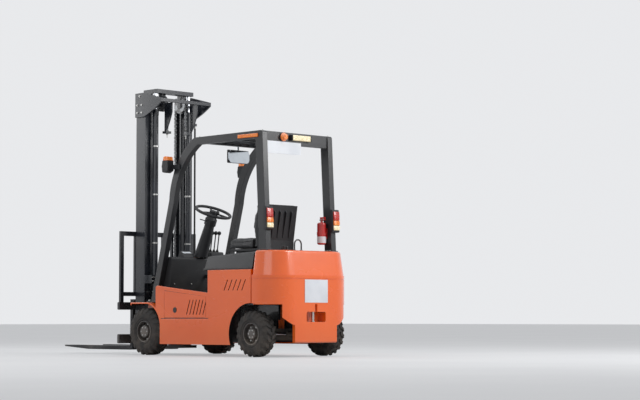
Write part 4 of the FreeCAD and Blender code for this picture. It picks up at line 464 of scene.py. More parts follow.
def paintedShadeShare(finish):
    # 1 in the slots, in the groove and on whatever faces a wheel from inside its arch, 0 elsewhere; where it is 1 the
    # orange paint is painted near-black, painted shade
    spot = finish.high.outputs
    soft = 0.0006
    (rear, front), (foot, top) = paintedShadeStyle["along"], paintedShadeStyle["tall"]
    share = finish.ramp(finish.sum("ABSOLUTE", spot["Y"], 0.0), paintedShadeStyle["depth"] + soft, paintedShadeStyle["depth"])
    for value, low, high in ((spot["X"], axleX + rear, axleX + rear + soft), (spot["Z"], foot, foot + soft),
                             (spot["X"], axleX + front, axleX + front - soft), (spot["Z"], top, top - soft)):
        share = finish.sum("MULTIPLY", share, finish.ramp(value, low, high))
    facing = finish.tree.nodes.new("ShaderNodeNewGeometry").outputs["Normal"]
    for archX, archZ, reach in paintedShadeStyle["arches"]:
        steps = {name: finish.tree.nodes.new("ShaderNodeVectorMath")
                 for name in ("SUBTRACT", "MULTIPLY", "LENGTH", "NORMALIZE", "DOT_PRODUCT")}
        for name, node in steps.items():
            node.operation = name
        steps["SUBTRACT"].inputs[0].default_value = (axleX + archX, 0, archZ)
        finish.put(steps["SUBTRACT"].inputs[1], finish.place)
        finish.put(steps["MULTIPLY"].inputs[0], steps["SUBTRACT"].outputs[0])
        steps["MULTIPLY"].inputs[1].default_value = (1, 0, 1)
        for name in ("LENGTH", "NORMALIZE"):
            finish.put(steps[name].inputs[0], steps["MULTIPLY"].outputs[0])
        finish.put(steps["DOT_PRODUCT"].inputs[0], steps["NORMALIZE"].outputs[0])
        finish.put(steps["DOT_PRODUCT"].inputs[1], facing)
        inside = finish.sum("MULTIPLY", finish.ramp(steps["DOT_PRODUCT"].outputs["Value"], 0.3, 0.45),
                            finish.ramp(steps["LENGTH"].outputs["Value"], reach, reach - 0.01))
        share = finish.sum("MAXIMUM", share, inside)
    return share


def paintFinish(name, look):
    finish = Finish(name)
    cloud = finish.noise(look["cloudScale"], 4)
    peel = finish.noise(look["peelScale"], 2)
    streak = finish.noise(look["streakScale"], 3, 0.6, finish.stretched(*look["streakStretch"]))
    scuffs = finish.sum("MULTIPLY", finish.ramp(streak, 0.64, 0.74), look["scuffs"])
    low = finish.ramp(finish.high.outputs["Z"], look["dustTop"], 0.02)
    dust = finish.sum("MULTIPLY", finish.sum("MULTIPLY", low, finish.ramp(cloud, 0.25, 0.75, 0.35, 1)), look["dust"])
    colour = finish.mix(finish.ramp(cloud, 0.3, 0.7), look["dark"], look["colour"])
    colour = finish.mix(scuffs, colour, look["scuffColour"])
    colour = finish.mix(dust, colour, dustColour)
    if look["edgeWear"]:
        chips = finish.sum("MULTIPLY", finish.worn(2.5), finish.ramp(finish.noise(38, 5, 0.7), 0.52, 0.6))
        colour = finish.mix(finish.sum("MULTIPLY", chips, look["edgeWear"]), colour, look["edgeColour"])
    # painted shade: the slots, the groove and the wheel arch insides are painted near-black
    if look.get("paintedRecessShade"):
        colour = finish.mix(paintedShadeShare(finish), colour, paintedShadeStyle["colour"])
    rough = finish.sum("ADD", finish.sum("MULTIPLY", dust, 0.45), finish.ramp(cloud, 0.2, 0.8,
                       look["roughness"] * 0.9, look["roughness"] * 1.12))
    rough = finish.sum("ADD", rough, finish.sum("MULTIPLY", scuffs, 0.25))
    finish.set(Base_Color=colour, Roughness=rough, Coat_Weight=look["coat"], Coat_Roughness=look["coatRoughness"])
    finish.bump(peel, look["peelHeight"] * mm, 1.0, look["edgeRadius"])
    return finish.material


def plasticFinish(name, look):
    finish = Finish(name)
    grain = finish.cells(look["grainScale"])
    cloud = finish.noise(3.5, 4)
    rub = finish.ramp(finish.noise(14, 5, 0.65), 0.6, 0.75)
    low = finish.ramp(finish.high.outputs["Z"], look["dustTop"], 0.02)
    dust = finish.sum("MULTIPLY", finish.sum("MULTIPLY", low, finish.ramp(cloud, 0.3, 0.7)), look["dust"])
    colour = finish.mix(finish.ramp(cloud, 0.3, 0.7), look["dark"], look["colour"])
    colour = finish.mix(finish.sum("MULTIPLY", rub, look["rub"]), colour, look["rubColour"])
    colour = finish.mix(dust, colour, dustColour)
    rough = finish.sum("ADD", finish.ramp(rub, 0, 1, look["roughness"], look["roughness"] * 0.82),
                       finish.sum("MULTIPLY", dust, 0.3))
    finish.set(Base_Color=colour, Roughness=rough, Specular_IOR_Level=look["specular"])
    finish.bump(grain, look["grainHeight"] * mm, 1.0, look["edgeRadius"])
    return finish.material


def metalFinish(name, look):
    finish = Finish(name)
    brushed = finish.noise(look["brushScale"], 2, 0.5, finish.stretched(*look["brushStretch"]))
    cloud = finish.noise(look["cloudScale"], 4)
    stain = finish.sum("MULTIPLY", finish.ramp(cloud, 0.45, 0.72), look["stain"])
    colour = finish.mix(finish.ramp(brushed, 0.3, 0.7), look["dark"], look["colour"])
    colour = finish.mix(stain, colour, look["stainColour"])
    rough = finish.sum("ADD", finish.ramp(brushed, 0.2, 0.8, look["roughness"] * 0.8, look["roughness"] * 1.2),
                       finish.sum("MULTIPLY", stain, 0.2))
    finish.set(Base_Color=colour, Roughness=rough, Metallic=look["metallic"])
    finish.bump(brushed, look["brushHeight"] * mm, 1.0, look["edgeRadius"])
    return finish.material


def lensFinish(name, look):
    finish = Finish(name)
    ribs = finish.bands(look["ribScale"], look["ribDirection"])
    cell = finish.cells(look["cellScale"], "SMOOTH_F1")
    glow = finish.mix(finish.ramp(ribs, 0.1, 0.9), look["deep"], look["colour"])
    glow = finish.mix(finish.ramp(cell, 0.1, 0.6), glow, look["deep"])
    finish.set(Base_Color=glow, Roughness=0.12, Coat_Weight=1.0, Coat_Roughness=0.03,
               Emission_Color=glow, Emission_Strength=look["glow"])
    finish.bump(ribs, look["ribHeight"] * mm, 1.0, 2.0)
    return finish.material


def rubberFinish(name, look):
    finish = Finish(name)
    pores = finish.noise(look["poreScale"], 3, 0.6)
    cloud = finish.noise(look["cloudScale"], 5, 0.6)
    low = finish.ramp(finish.high.outputs["Z"], look["dustTop"], 0.0)
    dust = finish.sum("MULTIPLY", finish.ramp(cloud, 0.32, 0.68, 0.2, 1), look["dust"])
    dust = finish.sum("MULTIPLY", dust, finish.ramp(low, 0, 1, 0.55, 1))
    colour = finish.mix(finish.ramp(pores, 0.35, 0.65), look["dark"], look["colour"])
    colour = finish.mix(dust, colour, look["dustColour"])
    finish.set(Base_Color=colour, Roughness=finish.ramp(pores, 0.2, 0.8, look["roughness"] - 0.08,
               look["roughness"] + 0.08), Specular_IOR_Level=0.35)
    finish.bump(pores, look["poreHeight"] * mm, 1.0, look["edgeRadius"])
    return finish.material


def vinylFinish(name, look):
    finish = Finish(name)
    creases = finish.cells(look["creaseScale"], "DISTANCE_TO_EDGE")
    pores = finish.noise(look["poreScale"], 2)
    wear = finish.ramp(finish.noise(7, 4, 0.6), 0.5, 0.72)
    leather = finish.sum("ADD", finish.ramp(creases, 0, 0.12), finish.sum("MULTIPLY", pores, 0.35))
    colour = finish.mix(finish.ramp(creases, 0, 0.1), look["dark"], look["colour"])
    colour = finish.mix(finish.sum("MULTIPLY", wear, look["wear"]), colour, look["wearColour"])
    finish.set(Base_Color=colour, Roughness=finish.ramp(wear, 0, 1, look["roughness"], look["roughness"] - 0.12),
               Sheen_Weight=look["sheen"], Specular_IOR_Level=0.45)
    finish.bump(leather, look["creaseHeight"] * mm)
    return finish.material


paintLooks = {
    "bodyPaint": {"colour": (0.9, 0.13, 0.003, 1), "dark": (0.82, 0.108, 0.002, 1), "cloudScale": 1.6,
                  "peelScale": 420, "peelHeight": 0.05, "streakScale": 9, "streakStretch": (1, 1, 6), "scuffs": 0.1,
                  "scuffColour": colourFrom(120, 60, 20), "dust": 0.16, "dustTop": 0.5, "edgeWear": 0.3,
                  "edgeColour": colourFrom(120, 62, 24), "edgeRadius": 3.0, "roughness": 0.26, "coat": 0.85,
                  "coatRoughness": 0.07, "paintedRecessShade": True},
    "guardPaint": {"colour": colourFrom(33, 34, 37), "dark": colourFrom(25, 26, 29), "cloudScale": 3.0,
                   "peelScale": 600, "peelHeight": 0.06, "streakScale": 16, "streakStretch": (1, 1, 0.25),
                   "scuffs": 0.1, "scuffColour": colourFrom(92, 94, 98), "dust": 0.15, "dustTop": 1.1, "edgeWear": 0.4,
                   "edgeColour": colourFrom(96, 98, 102), "edgeRadius": 5.0, "roughness": 0.34, "coat": 0.3,
                   "coatRoughness": 0.18},
    "mastPaint": {"colour": colourFrom(36, 40, 48), "dark": colourFrom(24, 27, 33), "cloudScale": 2.2,
                  "peelScale": 500, "peelHeight": 0.06, "streakScale": 26, "streakStretch": (1, 1, 0.06),
                  "scuffs": 0.26, "scuffColour": colourFrom(104, 112, 124), "dust": 0.2, "dustTop": 0.7,
                  "edgeWear": 0.75, "edgeColour": colourFrom(128, 134, 142), "edgeRadius": 3.5, "roughness": 0.27,
                  "coat": 0.4, "coatRoughness": 0.12},
    "rimPaint": {"colour": colourFrom(66, 68, 72), "dark": colourFrom(50, 52, 56), "cloudScale": 9.0,
                 "peelScale": 500, "peelHeight": 0.08, "streakScale": 30, "streakStretch": (1, 1, 1), "scuffs": 0.25,
                 "scuffColour": colourFrom(112, 106, 98), "dust": 0.45, "dustTop": 0.55, "edgeWear": 0.6,
                 "edgeColour": colourFrom(132, 128, 122), "edgeRadius": 2.5, "roughness": 0.42, "coat": 0.2,
                 "coatRoughness": 0.3},
    "axlePaint": {"colour": colourFrom(52, 54, 58), "dark": colourFrom(38, 40, 43), "cloudScale": 7.0,
                  "peelScale": 170, "peelHeight": 0.5, "streakScale": 18, "streakStretch": (1, 1, 1), "scuffs": 0.3,
                  "scuffColour": colourFrom(96, 88, 78), "dust": 0.5, "dustTop": 0.6, "edgeWear": 0.4,
                  "edgeColour": colourFrom(120, 112, 102), "edgeRadius": 4.0, "roughness": 0.55, "coat": 0.0,
                  "coatRoughness": 0.3},
    "redPaint": {"colour": colourFrom(196, 26, 20), "dark": colourFrom(170, 18, 14), "cloudScale": 6.0,
                 "peelScale": 600, "peelHeight": 0.03, "streakScale": 20, "streakStretch": (1, 1, 1), "scuffs": 0.1,
                 "scuffColour": colourFrom(120, 30, 26), "dust": 0.0, "dustTop": 0.5, "edgeWear": 0.3,
                 "edgeColour": colourFrom(150, 90, 80), "edgeRadius": 2.0, "roughness": 0.22, "coat": 0.8,
                 "coatRoughness": 0.06},
    "whitePlate": {"colour": colourFrom(228, 231, 236), "dark": colourFrom(214, 218, 224), "cloudScale": 5.0,
                   "peelScale": 700, "peelHeight": 0.02, "streakScale": 24, "streakStretch": (1, 1, 1),
                   "scuffs": 0.08, "scuffColour": colourFrom(176, 170, 160), "dust": 0.1, "dustTop": 0.9,
                   "edgeWear": 0.0, "edgeColour": colourFrom(200, 200, 200), "edgeRadius": 1.5, "roughness": 0.3,
                   "coat": 0.4, "coatRoughness": 0.1},
}
plasticLooks = {
    "blackPlastic": {"colour": colourFrom(37, 38, 41), "dark": colourFrom(28, 29, 32), "grainScale": 900,
                     "grainHeight": 0.12, "rub": 0.35, "rubColour": colourFrom(62, 64, 68), "dust": 0.25,
                     "dustTop": 1.0, "roughness": 0.52, "specular": 0.45, "edgeRadius": 3.0},
    "hoodPlastic": {"colour": colourFrom(34, 36, 40), "dark": colourFrom(26, 28, 32), "grainScale": 620,
                    "grainHeight": 0.16, "rub": 0.3, "rubColour": colourFrom(66, 70, 78), "dust": 0.2,
                    "dustTop": 1.1, "roughness": 0.4, "specular": 0.55, "edgeRadius": 6.0},
    "batteryCase": {"colour": colourFrom(84, 87, 91), "dark": colourFrom(66, 68, 72), "grainScale": 300,
                    "grainHeight": 0.2, "rub": 0.2, "rubColour": colourFrom(110, 112, 114), "dust": 0.5,
                    "dustTop": 1.2, "roughness": 0.6, "specular": 0.4, "edgeRadius": 3.0},
}
metalLooks = {
    "chrome": {"colour": (0.78, 0.8, 0.83, 1), "dark": (0.66, 0.68, 0.72, 1), "brushScale": 60,
               "brushStretch": (1, 1, 12), "brushHeight": 0.004, "cloudScale": 6, "stain": 0.12,
               "stainColour": colourFrom(120, 112, 92), "roughness": 0.1, "metallic": 1.0, "edgeRadius": 1.0},
    "chainSteel": {"colour": (0.34, 0.35, 0.36, 1), "dark": (0.16, 0.165, 0.17, 1), "brushScale": 220,
                   "brushStretch": (1, 1, 1), "brushHeight": 0.03, "cloudScale": 22, "stain": 0.6,
                   "stainColour": colourFrom(58, 50, 42), "roughness": 0.36, "metallic": 0.9, "edgeRadius": 0.8},
    "zincSteel": {"colour": (0.6, 0.6, 0.58, 1), "dark": (0.45, 0.45, 0.44, 1), "brushScale": 160,
                  "brushStretch": (1, 1, 1), "brushHeight": 0.01, "cloudScale": 26, "stain": 0.25,
                  "stainColour": colourFrom(120, 110, 92), "roughness": 0.34, "metallic": 1.0, "edgeRadius": 0.8},
    "forkSteel": {"colour": colourFrom(62, 62, 64), "dark": colourFrom(34, 34, 37), "brushScale": 18,
                  "brushStretch": (0.12, 1, 1), "brushHeight": 0.06, "cloudScale": 5, "stain": 0.5,
                  "stainColour": colourFrom(116, 112, 108), "roughness": 0.42, "metallic": 0.55, "edgeRadius": 3.0},
    "mirrorGlass": {"colour": (0.62, 0.66, 0.7, 1), "dark": (0.6, 0.64, 0.68, 1), "brushScale": 3,
                    "brushStretch": (1, 1, 1), "brushHeight": 0.0, "cloudScale": 9, "stain": 0.08,
                    "stainColour": colourFrom(120, 124, 130), "roughness": 0.05, "metallic": 1.0, "edgeRadius": 1.0},
}
lensLooks = {
    "amberLens": {"colour": colourFrom(255, 168, 40), "deep": colourFrom(206, 96, 10), "ribScale": 60,
                  "ribDirection": "Z", "cellScale": 90, "ribHeight": 0.6, "glow": 0.35},
    "redLens": {"colour": colourFrom(236, 52, 24), "deep": colourFrom(150, 14, 8), "ribScale": 55,
                "ribDirection": "Z", "cellScale": 110, "ribHeight": 0.5, "glow": 0.3},
    "clearLens": {"colour": colourFrom(255, 244, 214), "deep": colourFrom(206, 190, 150), "ribScale": 70,
                  "ribDirection": "Y", "cellScale": 80, "ribHeight": 0.5, "glow": 0.45},
}
rubberLooks = {
    "tyreRubber": {"colour": colourFrom(44, 44, 45), "dark": colourFrom(30, 30, 32), "poreScale": 260,
                   "poreHeight": 0.25, "cloudScale": 11, "dust": 0.42, "dustColour": colourFrom(112, 102, 92),
                   "dustTop": 0.45, "roughness": 0.8, "edgeRadius": 2.0},
    "floorRubber": {"colour": colourFrom(34, 34, 35), "dark": colourFrom(24, 24, 25), "poreScale": 420,
                    "poreHeight": 0.12, "cloudScale": 6, "dust": 0.3, "dustColour": colourFrom(96, 90, 82),
                    "dustTop": 1.2, "roughness": 0.72, "edgeRadius": 1.0},
    "hoseRubber": {"colour": colourFrom(26, 26, 28), "dark": colourFrom(18, 18, 20), "poreScale": 700,
                   "poreHeight": 0.1, "cloudScale": 16, "dust": 0.12, "dustColour": colourFrom(84, 80, 76),
                   "dustTop": 2.5, "roughness": 0.5, "edgeRadius": 0.0},
}
vinylLook = {"colour": colourFrom(40, 41, 44), "dark": colourFrom(22, 22, 25), "creaseScale": 420,
             "creaseHeight": 0.22, "poreScale": 1600, "wear": 0.35, "wearColour": colourFrom(70, 71, 74),
             "roughness": 0.5, "sheen": 0.12}

finishes = {name: paintFinish(name, look) for name, look in paintLooks.items()}
finishes.update({name: plasticFinish(name, look) for name, look in plasticLooks.items()})
finishes.update({name: metalFinish(name, look) for name, look in metalLooks.items()})
finishes.update({name: lensFinish(name, look) for name, look in lensLooks.items()})
finishes.update({name: rubberFinish(name, look) for name, look in rubberLooks.items()})
finishes["seatVinyl"] = vinylFinish("seatVinyl", vinylLook)
print("finishes made:", len(finishes))

# Finish of each carried-over solid
nodeFinishes = {
    "bodyPaint": ("chassis", "body_side_left", "body_side_right", "side_cover_left", "side_cover_right",
                  "counterweight"),
    "guardPaint": ("guard_frame", "roof_bars", "pedals", "rear_handle"),
    "mastPaint": ("mast_outer", "mast_ties", "mast_inner", "lift_barrels", "carriage", "load_backrest", "tilt_barrels"),
    "rimPaint": ("rim_front_left", "rim_front_right", "rim_rear_left", "rim_rear_right"),
    "axlePaint": ("drive_axle", "steer_axle", "knuckle_left", "knuckle_right"),
    "redPaint": ("extinguisher",),
    "whitePlate": ("number_plate", "rear_panel"),
    "blackPlastic": ("side_caps", "front_cowl", "front_lamps", "rear_lamps", "seat_pan", "steering_column",
                     "steering_wheel", "levers"),
    "hoodPlastic": ("hood",),
    "batteryCase": ("battery",),
    "chrome": ("steer_rod", "lift_rods", "tilt_rods"),
    "chainSteel": ("chain_sheaves", "lift_chains"),
    "zincSteel": ("tow_pin",),
    "forkSteel": ("fork_left", "fork_right"),
    "mirrorGlass": ("mirror",),
    "amberLens": ("turn_lamps", "beacon"),
    "redLens": ("rear_lenses",),
    "clearLens": ("work_lamp",),
    "tyreRubber": ("tyre_front_left", "tyre_front_right", "tyre_rear_left", "tyre_rear_right"),
    "floorRubber": ("floor_mat",),
    "hoseRubber": ("mast_hoses",),
    "seatVinyl": ("seat_cushion", "seat_back"),
}
for finishName, names in nodeFinishes.items():
    for nodeName in names:
        if nodeName in nodes:
            mesh = nodes[nodeName].data
            mesh.materials.clear()
            mesh.materials.append(finishes[finishName])


# Camera, floor and light

view = {"place": at(-14163, 12576, 355), "ahead": (0.699, -0.715), "pitch": 3.55, "lens": 107.34}
cameraData = bpy.data.cameras.new("photoCamera")
cameraData.lens = view["lens"]
cameraData.sensor_width = 36
cameraData.clip_end = 200
camera = link(bpy.data.objects.new("photoCamera", cameraData))
camera.location = view["place"]
rise = math.tan(math.radians(view["pitch"])) * math.hypot(*view["ahead"])
camera.rotation_euler = Vector((*view["ahead"], rise)).to_track_quat("-Z", "Y").to_euler()
bpy.context.scene.camera = camera

floorFinish = Finish("paleFloor")
floorTone = floorFinish.mix(floorFinish.ramp(floorFinish.noise(0.7, 3), 0.3, 0.7), colourFrom(205, 206, 208),
                            colourFrom(212, 213, 214))
floorFinish.set(Base_Color=floorTone, Roughness=0.6, Specular_IOR_Level=0.2)
floorPale = {"share": 0.45, "tone": (0.82, 0.83, 0.85, 1)}  # how much of its own pale tone the camera sees
floorNodes = floorFinish.tree.nodes
floorGlow = floorNodes.new("ShaderNodeEmission")
floorGlow.inputs["Color"].default_value = floorPale["tone"]
floorMix = floorNodes.new("ShaderNodeMixShader")
floorSeen = floorFinish.sum("MULTIPLY", floorNodes.new("ShaderNodeLightPath").outputs["Is Camera Ray"],
                            floorPale["share"])
floorFinish.tree.links.new(floorSeen, floorMix.inputs["Fac"])
floorFinish.tree.links.new(floorFinish.shader.outputs[0], floorMix.inputs[1])
floorFinish.tree.links.new(floorGlow.outputs[0], floorMix.inputs[2])
floorFinish.tree.links.new(floorMix.outputs[0], floorNodes["Material Output"].inputs["Surface"])
floorMesh = bpy.data.meshes.new("studioFloor")
floorMesh.from_pydata([(-80, -80, 0), (80, -80, 0), (80, 80, 0), (-80, 80, 0)], [], [(0, 1, 2, 3)])
studioFloor = link(bpy.data.objects.new("studioFloor", floorMesh))
floorMesh.materials.append(floorFinish.material)

lamps = {
    "keyLamp": {"place": (-6.5, -3.0, 4.6), "target": (-0.6, 0, 1.0), "size": 4.0, "power": 330},
    "sideLamp": {"place": (-2.5, 7.0, 4.2), "target": (0, 0, 0.9), "size": 4.5, "power": 90},
    "topLamp": {"place": (0.8, 1.0, 6.5), "target": (0, 0, 1.0), "size": 5.0, "power": 110},
    "frontLamp": {"place": (6.5, 3.0, 3.6), "target": (0, 0, 1.0), "size": 4.0, "power": 110},
}
for lampName, lamp in lamps.items():
    lightData = bpy.data.lights.new(lampName, "AREA")
    lightData.shape = "SQUARE"
    lightData.size = lamp["size"]
    lightData.energy = lamp["power"]
    light = link(bpy.data.objects.new(lampName, lightData))
    light.location = lamp["place"]
    light.rotation_euler = (Vector(lamp["target"]) - Vector(lamp["place"])).to_track_quat("-Z", "Y").to_euler()

world = bpy.context.scene.world or bpy.data.worlds.new("studioWorld")
bpy.context.scene.world = world
world.use_nodes = True
worldTree = world.node_tree
worldTree.nodes.clear()
skyTone = worldTree.nodes.new("ShaderNodeBackground")
skyTone.inputs["Color"].default_value = (0.95, 0.97, 1.0, 1)
skyTone.inputs["Strength"].default_value = 0.36
backTone = worldTree.nodes.new("ShaderNodeBackground")
backTone.inputs["Color"].default_value = (0.9, 0.91, 0.93, 1)
backTone.inputs["Strength"].default_value = 0.9
rays = worldTree.nodes.new("ShaderNodeLightPath")
seen = worldTree.nodes.new("ShaderNodeMixShader")
worldEnd = worldTree.nodes.new("ShaderNodeOutputWorld")
anySeen = rays.outputs["Is Camera Ray"]
for rayName in ("Is Glossy Ray", "Is Transmission Ray"):
    either = worldTree.nodes.new("ShaderNodeMath")
    either.operation = "MAXIMUM"
    worldTree.links.new(anySeen, either.inputs[0])
    worldTree.links.new(rays.outputs[rayName], either.inputs[1])
    anySeen = either.outputs[0]
worldTree.links.new(anySeen, seen.inputs["Fac"])
worldTree.links.new(skyTone.outputs[0], seen.inputs[1])
worldTree.links.new(backTone.outputs[0], seen.inputs[2])
worldTree.links.new(seen.outputs[0], worldEnd.inputs[0])
bpy.context.scene.view_settings.view_transform = "Standard"
print("camera and light set")


# Wheels

wheelStyle = {
    "front": {"radius": 229, "half": 87.5, "x": 0, "nuts": 8, "nutCircle": 74, "hubCircle": 40},
    "rear": {"radius": 213, "half": 75, "x": -1490, "nuts": 6, "nutCircle": 70, "hubCircle": 34},
}
lugStyle = {"count": 20, "halfAngle": 5.2, "topShare": 0.84, "round": 1.8}
treadHalf = 450


def tyreCarcass(name, style, centre):
    r, h = style["radius"], style["half"]
    side = [(h - 9, 103.9), (h - 2, 109), (h - 0.5, 118), (h - 4, 122), (h - 4, 128), (h - 0.5, 132),
            (h - 0.5, r - 60), (h - 3, r - 50), (h - 14, r - 27), (h - 26, r - 15), (h * 0.4, r - 13)]
    return lathe(name, side + [(-z, radius) for z, radius in reversed(side)], centre, (0, 1, 0), 84, True)


def lugPair(style):
    r, h = style["radius"], style["half"]
    stations = [(3, r - 16, r - 0.6, 0), (h * 0.45, r - 16, r - 0.6, 4), (h - 25, r - 18, r - 1.5, 8),
                (h - 13, r - 38, r - 22.5, 9), (h - 1.5, r - 56, r - 43, 9.5)]
    bm = bmesh.new()
    for side, first in ((1, 0), (-1, 180 / lugStyle["count"])):
        rings = []
        for z, low, high, shift in stations:
            ring = []
            for radius, edge in ((low, -1), (low, 1), (high, lugStyle["topShare"]), (high, -lugStyle["topShare"])):
                angle = math.radians(first + shift + edge * lugStyle["halfAngle"])
                ring.append(bm.verts.new((radius * mm * math.cos(angle), radius * mm * math.sin(angle),
                                          side * z * mm)))
            rings.append(ring)
        for ring, after in zip(rings, rings[1:]):
            for i in range(4):
                bm.faces.new((ring[i], ring[(i + 1) % 4], after[(i + 1) % 4], after[i]))
        bm.faces.new(rings[0])
        bm.faces.new(rings[-1])
    return bevelled(pieceFrom(bm, "lugPair"), lugStyle["round"], 2, 24)


for endName, style in wheelStyle.items():
    for sideName, side in (("left", 1), ("right", -1)):
        body = "wheel_" + endName + "_" + sideName
        label = endName + sideName.capitalize()
        centre = at(style["x"], side * treadHalf, style["radius"])
        lugs = repeated("lugs", "ring", lugPair(style), {"Count": lugStyle["count"]}, finishes["tyreRubber"])
        placed(lugs, centre, (0, side, 0))
        tyre = joined(label + "Tyre", [tyreCarcass("carcass", style, centre), lugs])
        dress(tyre, finishes["tyreRubber"], body, ["tyre_" + endName + "_" + sideName])
        out = Vector((0, side, 0))
        nuts = repeated("nuts", "ring", boltHead("nut", 21, 16, style["nutCircle"]), {"Count": style["nuts"]},
                        finishes["zincSteel"])
        placed(nuts, centre + out * 17.5 * mm, out)
        screws = repeated("screws", "ring", boltHead("screw", 11, 6, style["hubCircle"]), {"Count": 6},
                          finishes["zincSteel"])
        placed(screws, centre + out * (style["half"] - 12.6) * mm, out)
        dress(joined(label + "WheelNuts", [nuts, screws]), finishes["zincSteel"], body)
        edge = style["half"] - 10.5
        lip = lathe(label + "RimLip", [(edge, 92.5), (edge + 3, 93.5), (edge + 4, 96), (edge + 4, 101),
                                       (edge + 2, 103.6), (edge, 103.8)], centre, out, 72, True)
        dress(lip, finishes["rimPaint"], body)
print("wheels made")


# Fasteners

def boltsAt(name, spots, way, size, height, body, finish="zincSteel"):
    holder = bpy.data.meshes.new(name + "Spots")
    holder.from_pydata([at(*spot) for spot in spots], [], [])
    marks = link(bpy.data.objects.new(name + "Spots", holder))
    unit = placed(boltHead(name + "Head", size, height), Vector((0, 0, 0)), way)
    obj = repeated(name, "spots", unit, {"Spots": marks}, finishes[finish])
    bpy.data.objects.remove(marks)
    return dress(obj, finishes[finish], body)


bothSides = (1, -1)
fasteners = {
    "guardFootBolts": {"spots": [(x, s * y, 524.4) for s in bothSides for x in (-135, 8) for y in (412, 450)],
                       "way": (0, 0, 1), "size": 17, "height": 11, "body": "truck"},
    "guardRearFootBolts": {"spots": [(x, s * 394, 992.3) for s in bothSides for x in (-1615, -1588, -1561)],
                           "way": (0, 0, 1), "size": 10, "height": 7, "body": "truck"},
    "cowlScrews": {"spots": [(-232, y, 690) for y in (-340, -120, 120, 340)],
                   "way": (-1, 0, 0), "size": 11, "height": 6, "body": "truck"},
    "mastTieBolts": {"spots": [(142, s * y, z) for s in bothSides for y in (288, 300) for z in (722, 758)],
                     "way": (-1, 0, 0), "size": 13, "height": 9, "body": "mast"},
    "mastWingBoltsLeft": {"spots": [(x, 328, z) for x, z in ((285, 2395), (352, 2395), (285, 2470), (352, 2470),
                                                             (318, 2560))],
                          "way": (0, 1, 0), "size": 18, "height": 10, "body": "mast"},
    "mastWingBoltsRight": {"spots": [(x, -328, z) for x, z in ((285, 2395), (352, 2395), (285, 2470),
                                                               (352, 2470), (318, 2560))],
                           "way": (0, -1, 0), "size": 18, "height": 10, "body": "mast"},
    "roofBolts": {"spots": [(x, s * 430, z) for s in bothSides for x, z in ((-690, 2077.3), (-1550, 2084.6))],
                  "way": (0, 0, 1), "size": 15, "height": 8, "body": "truck"},
    "backrestBolts": {"spots": [(420, s * y, z) for s in bothSides for y in (80, 110) for z in (530, 560)],
                      "way": (1, 0, 0), "size": 16, "height": 9, "body": "fork_carriage"},
    "carriageBolts": {"spots": [(424, s * y, z) for s in bothSides for y in (142, 178) for z in (250, 390)],
                      "way": (1, 0, 0), "size": 18, "height": 10, "body": "fork_carriage"},
    "axleBoltsLeft": {"spots": [(x, 95, 229 + z) for x, z in ((0, 104), (90, 52), (90, -52), (0, -104),
                                                              (-74, -73))],
                      "way": (0, 1, 0), "size": 16, "height": 9, "body": "truck"},
    "axleBoltsRight": {"spots": [(x, -95, 229 + z) for x, z in ((0, 104), (90, 52), (90, -52), (0, -104),
                                                                (-74, -73))],
                       "way": (0, -1, 0), "size": 16, "height": 9, "body": "truck"},
}
for fastenerName, style in fasteners.items():
    boltsAt(fastenerName, style["spots"], style["way"], style["size"], style["height"], style["body"])
print("fasteners made")


# Seat pads

padStyle = {
    "seatCushionPad": {"node": "seat_cushion", "shrink": (0.93, 0.95, 0.86), "cap": 14, "fill": 0.75},
    "seatBackPad": {"node": "seat_back", "shrink": (0.86, 0.95, 0.95), "cap": 14, "fill": 0.75},
}
padVoxel = 6.5
padPressure = 4.0


def padStart(name, nodeName, shrink):
    bm = bmesh.new()
    bm.from_mesh(nodes[nodeName].data)
    bmesh.ops.remove_doubles(bm, verts=bm.verts, dist=1e-5)
    low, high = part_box(nodeName)
    middle = (low + high) / 2
    for vert in bm.verts:
        for axis in range(3):
            vert.co[axis] = middle[axis] + (vert.co[axis] - middle[axis]) * shrink[axis]
    obj = pieceFrom(bm, name)
    remesh = obj.modifiers.new("voxels", "REMESH")
    remesh.mode = "VOXEL"
    remesh.voxel_size = padVoxel * mm
    return bakeModifiers(obj)


def stuffed(obj, cap, held):
    # blown up as cloth, but no point further than the cap; the held points stay where they rest
    start = [vert.co.copy() for vert in obj.data.vertices]
    group = obj.vertex_groups.new(name="held")
    group.add([i for i, point in enumerate(start) if held(point)], 1.0, "REPLACE")
    cloth = obj.modifiers.new("stuffing", "CLOTH")
    cloth.settings.vertex_group_mass = "held"
    cloth.settings.use_pressure = True
    cloth.settings.uniform_pressure_force = padPressure
    cloth.settings.effector_weights.gravity = 0
    cloth.settings.quality = 5
    cloth.point_cache.frame_start = 1
    cloth.point_cache.frame_end = 20
    for number in range(1, 21):
        bpy.context.scene.frame_set(number)
    graph = bpy.context.evaluated_depsgraph_get()
    blown = bpy.data.meshes.new_from_object(obj.evaluated_get(graph), depsgraph=graph)
    for vert, first, last in zip(obj.data.vertices, start, blown.vertices):
        step = last.co - first
        if step.length > cap * mm:
            step *= cap * mm / step.length
        vert.co = first + step
    obj.modifiers.clear()
    obj.vertex_groups.clear()
    bpy.context.scene.frame_set(1)
    relax = obj.modifiers.new("relax", "SMOOTH")
    relax.factor = 0.5
    relax.iterations = 4
    finer = obj.modifiers.new("finer", "SUBSURF")
    finer.levels = finer.render_levels = 1
    return smooth(bakeModifiers(obj), 60)


def sewn(obj, lines, depth, width):
    # a soft channel along every line; a line gives the distance to it from a point in millimetres
    normals = [vert.normal.copy() for vert in obj.data.vertices]  # all first, a moved vertex makes them stale
    for vert, normal in zip(obj.data.vertices, normals):
        local = Vector(((vert.co.x - axleX) / mm, vert.co.y / mm, vert.co.z / mm))
        push = sum(depth * math.exp(-(line(local) / width) ** 2) for line in lines)
        vert.co -= normal * min(push, depth) * mm
    return obj


def pipingOn(name, pad, points, radius=2.6):
    laid = []
    for point in points:
        _, spot, normal, _ = pad.closest_point_on_mesh(at(*point))
        laid.append(spot + normal * radius * 0.35 * mm)
    line = tube(name, laid, radius, 8)
    return dress(line, finishes["seatVinyl"], "lid")


